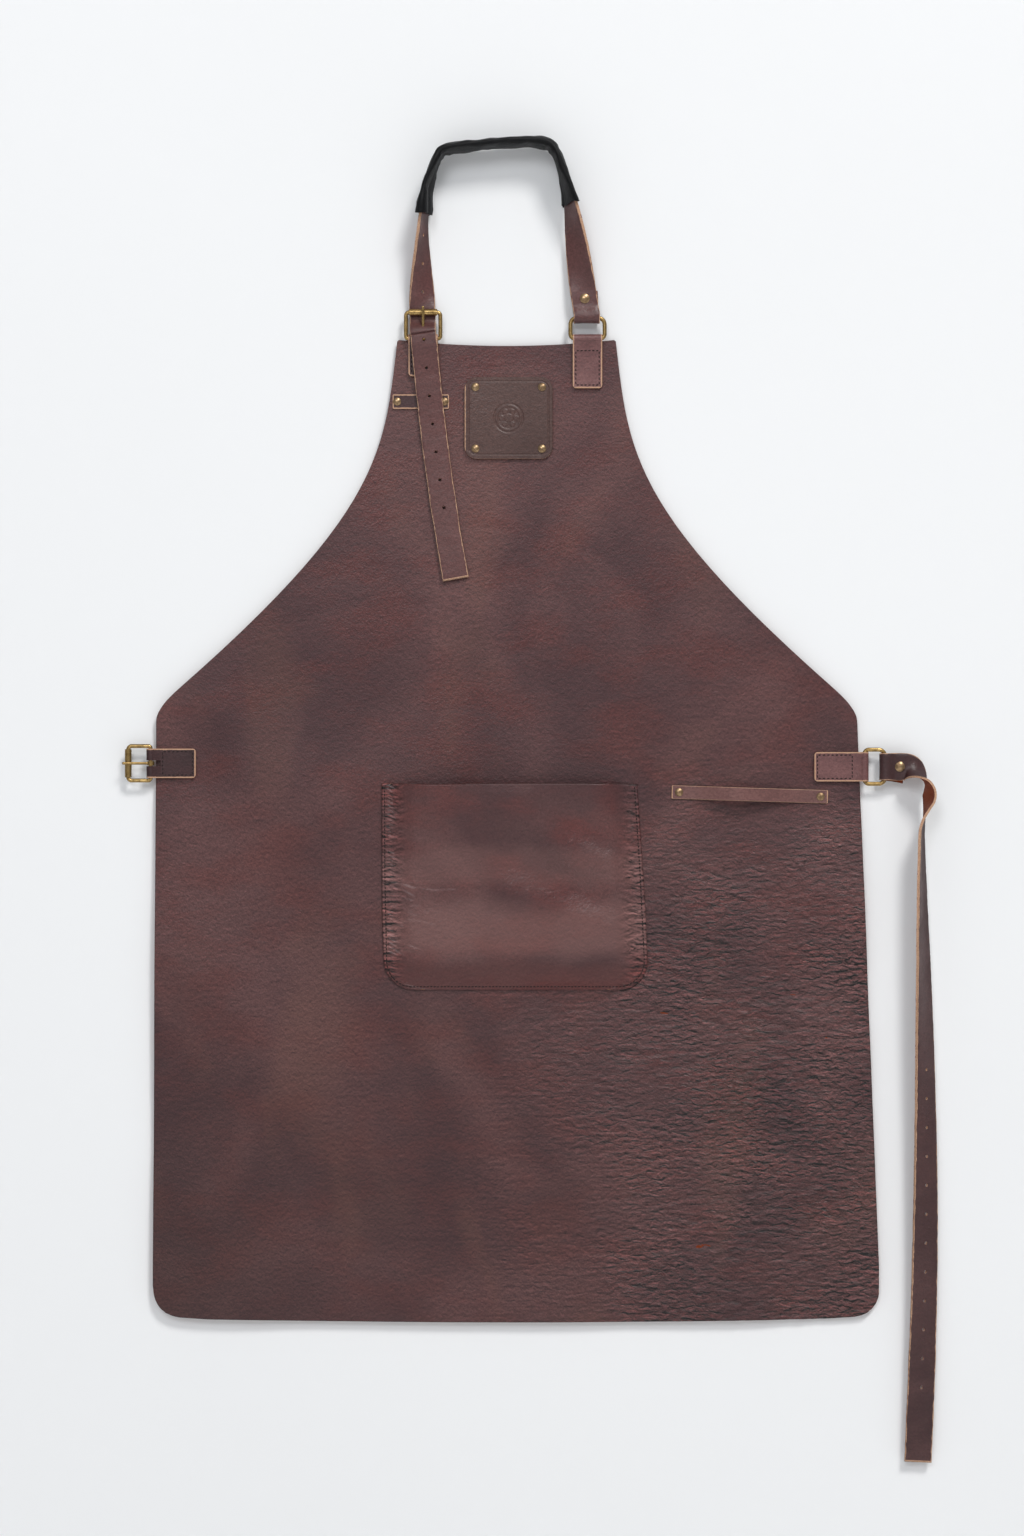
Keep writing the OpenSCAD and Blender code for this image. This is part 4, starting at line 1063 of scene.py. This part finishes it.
end_cut = (1.2 * noise2(AA / 0.8, 0 * AA, 98)) * (np.exp(-(AT / 2.5) ** 2) - np.exp(-((length - AT) / 2.5) ** 2))
inner_thick = np.minimum(np.abs(thick) * 0.72, np.abs(thick) - 0.35) * np.sign(sa)


def tube(sideways, outward):
    return (sl[:, None] + sdir[:, None] * sideways[..., None] + mdir[:, None] * outward[..., None]
            + tan[:, None] * end_cut[..., None])


verts = tube(half_w * across + wave, thick)
n_out = verts.shape[0] * K
inner = tube((half_w - 1.0) * across, inner_thick)
verts = np.concatenate([verts.reshape(-1, 3), inner.reshape(-1, 3)])
faces, index = [], []
for i in range(len(sl) - 1):
    for j in range(K):
        a, b = i * K + j, i * K + (j + 1) % K
        faces.append([a, b, b + K, a + K])
        index.append(0)
        faces.append([n_out + a, n_out + a + K, n_out + b + K, n_out + b])
        index.append(1)
for base, flip in ((0, False), ((len(sl) - 1) * K, True)):
    for j in range(K):
        a, b = base + j, base + (j + 1) % K
        f = [a, n_out + a, n_out + b, b]
        faces.append(f[::-1] if flip else f)
        index.append(0)
sleeve = make("sleeve_soft_leather", verts, faces, [sleeve_mat, lining_mat], index)
stands_for(sleeve, "neck_sleeve", "neck_loop")

# ---------------- waist strap
wr_lo, wr_hi = box_mm("waist_ring")
AXIS_X = wr_hi.x - 1.8
WZ = (wr_lo.z + wr_hi.z) / 2
WR, BOTTOM = 4.4, -972.0
# Round the ring, seen from above: the returned end behind, then the loop, then the front
lead = bez(*points([AXIS_X + 8, BAR_Y + GAP], [AXIS_X + 6, BAR_Y + GAP], [AXIS_X + 5, BAR_Y + WR],
                   [AXIS_X, BAR_Y + WR]), np.linspace(0, 1, 9)[:, None])
ang = np.linspace(0, math.pi, 25)[1:-1]
arc = np.stack([AXIS_X - WR * np.sin(ang), BAR_Y + WR * np.cos(ang)], 1)
out = np.stack([lead[::-1, 0], 2 * BAR_Y - lead[::-1, 1]], 1)
xy = np.concatenate([[[AXIS_X + 17.4, BAR_Y + GAP], [AXIS_X + 13, BAR_Y + GAP]], lead, arc, out])
sag = 0.18 * np.maximum(0, xy[:, 0] - AXIS_X) * (xy[:, 1] > BAR_Y)
start = np.stack([xy[:, 0], xy[:, 1], WZ - sag], 1)
# Then the turn downwards in two halves, and the hanging length
tt = np.linspace(0, 1, 25)[:, None]
turn_a = bez(*points([AXIS_X + 18.2, BAR_Y - GAP, WZ], [353.5, BAR_Y - GAP, WZ], [366, -14, WZ - 12],
                     [367.1, -15.5, WZ - 23.2]), tt)
turn_b = bez(*points([367.1, -15.5, WZ - 23.2], [368, -16, WZ - 33], [360.3, -15.5, WZ - 42], [360, -15, WZ - 60]),
             tt[1:])
HANG = WZ - 60


def hang_at(t):
    """The hanging length's middle, t from 0 at the top to 1 at the tip."""
    return np.stack([360 - 2 * t + 5.5 * np.sin(np.pi * np.power(t, 1.25)), -15 + 10.5 * ease(t),
                     HANG + (BOTTOM + 0.5 - HANG) * t], 1)


def hang_turn(t):
    """Its turn from flat to edge-on, in degrees."""
    return 75 * np.power(np.clip(1 - t, 0, 1), 1.25)


def corner_turn(i):
    """The twist at the corner, which shows the flesh side: i counts 14 steps to its most, then 6 to the hang."""
    return np.where(i < 14, 111 * ease(i / 14) ** 0.8, 111 - 36 * ease((i - 14) / 5.7))


ht = np.linspace(0, 1, 60)[1:]
pts = np.concatenate([start, turn_a, turn_b, hang_at(ht)])
tw = np.concatenate([np.zeros(len(start)), corner_turn(np.linspace(0, 14, 25)),
    corner_turn(np.linspace(14, 20, 25)[1:]), hang_turn(ht)])
wp, we, wat = resample(pts, tw[:, None], sp)
wp, we = smooth_rows(wp, 3), smooth_rows(we, 6)[:, 0]
d = np.gradient(wp, axis=0)
d /= np.linalg.norm(d, axis=1, keepdims=True)
flat_dir = np.stack([-d[:, 2], 0 * d[:, 0], d[:, 0]], 1)
first_turn = next(i for i in range(len(wp)) if wat[i] > 35 and wp[i, 0] > AXIS_X + 14)
flat_dir[:first_turn] = (0, 0, 1)
flat_dir /= np.maximum(np.linalg.norm(flat_dir, axis=1, keepdims=True), 1e-9)
we = np.radians(we)[:, None]
ww = np.cos(we) * flat_dir + np.sin(we) * np.array([0, 1.0, 0])
waist = strap("waist_strap_leather", wp, ww, WW, ST, [dark_mat, edge_mat, flesh_mat], 1, 12)
waist_holes = []
for k in range(12):
    t = (-629.5 - 25.2 * k - HANG) / (BOTTOM - HANG)
    a = math.radians(hang_turn(t))
    waist_holes.append((hang_at(np.array([t]))[0], (math.sin(a), -math.cos(a), 0)))
drill(waist, waist_holes, HOLE_R, 9, edge_mat)
stands_for(waist, "waist_strap", "waist_strap_body")

# ---------------- metal fittings keep their CAD solids
for o in list(bpy.context.scene.objects):
    node = o.name.split(".")[0]
    if o.type == "MESH" and not o.hide_render and node in frame["nodes"]:
        o.data.materials.clear()
        o.data.materials.append(rivet_mat if "rivet" in node else brass_mat)

# ---------------- wall, floor, light and camera
def surface(name, colour, size, loc, rot):
    """A plain painted plane of the setting."""
    bpy.ops.mesh.primitive_plane_add(size=size, location=loc, rotation=rot)
    o = bpy.context.object
    o.name = name
    n = Nodes(name)
    duller = tuple(c * 0.985 for c in colour)
    n.link(n.ramp(n.noise(1.2, 2), [(0.3, duller), (0.7, colour)]), n.b.inputs["Base Color"])
    n.b.inputs["Roughness"].default_value = 0.9
    clear = n.add("ShaderNodeBsdfTransparent")
    mixer = n.add("ShaderNodeMixShader")
    # Clear from behind, and to the short rays that leave the apron's back, so that its back is lit as well
    geo, path = n.add("ShaderNodeNewGeometry"), n.add("ShaderNodeLightPath")
    near = n.mul(n.math("LESS_THAN", path.outputs["Ray Length"], 0.03),
                 n.minus(1.0, path.outputs["Is Camera Ray"]))
    n.link(n.math("MAXIMUM", geo.outputs["Backfacing"], near), mixer.inputs[0])
    n.link(n.b.outputs[0], mixer.inputs[1])
    n.link(clear.outputs[0], mixer.inputs[2])
    n.link(mixer.outputs[0], n.t.nodes["Material Output"].inputs["Surface"])
    o.data.materials.append(n.m)


surface("wall", (0.83, 0.84, 0.85), 9, (0, 0.0035, 0), (math.radians(90), 0, 0))
surface("floor", (0.8, 0.8, 0.8), 9, (0, -2.5, -1.35), (0, 0, 0))


AIM = (0, 0, -0.4)


def area(name, loc, size, power, colour):
    """A round area light aimed at the apron's middle."""
    li = bpy.data.lights.new(name, "AREA")
    li.shape, li.size, li.energy, li.color = "DISK", size, power, colour
    o = bpy.data.objects.new(name, li)
    o.location = loc
    o.rotation_euler = (Vector(AIM) - Vector(loc)).to_track_quat("-Z", "Y").to_euler()
    bpy.context.scene.collection.objects.link(o)


area("key", (2.4, -4.8, 5.2), 2.0, 335, (1, 0.985, 0.965))
area("sheen", (-0.9, -4.6, 1.9), 1.8, 60, (0.95, 0.97, 1))
world = bpy.data.worlds.new("studio")
bpy.context.scene.world = world
world.use_nodes = True
sky = world.node_tree.nodes["Background"].inputs
sky[0].default_value = (0.95, 0.97, 1, 1)
sky[1].default_value = 0.35
bpy.context.scene.view_settings.view_transform = "Standard"

# The picture's height and middle in metres, and the camera's distance and film height
VIEW_H, VIEW_X, VIEW_Z, CAM_D, FILM = 1.33632, 0.00479, -0.3676, 3.0, 36
camera = bpy.data.cameras.new("camera")
camera.sensor_fit = "VERTICAL"
camera.sensor_height = camera.sensor_width = FILM
camera.lens = FILM * CAM_D / VIEW_H
cam = bpy.data.objects.new("camera", camera)
cam.location = (VIEW_X, -CAM_D - 0.005, VIEW_Z)
cam.rotation_euler = (math.radians(90), 0, 0)
bpy.context.scene.collection.objects.link(cam)
bpy.context.scene.camera = cam
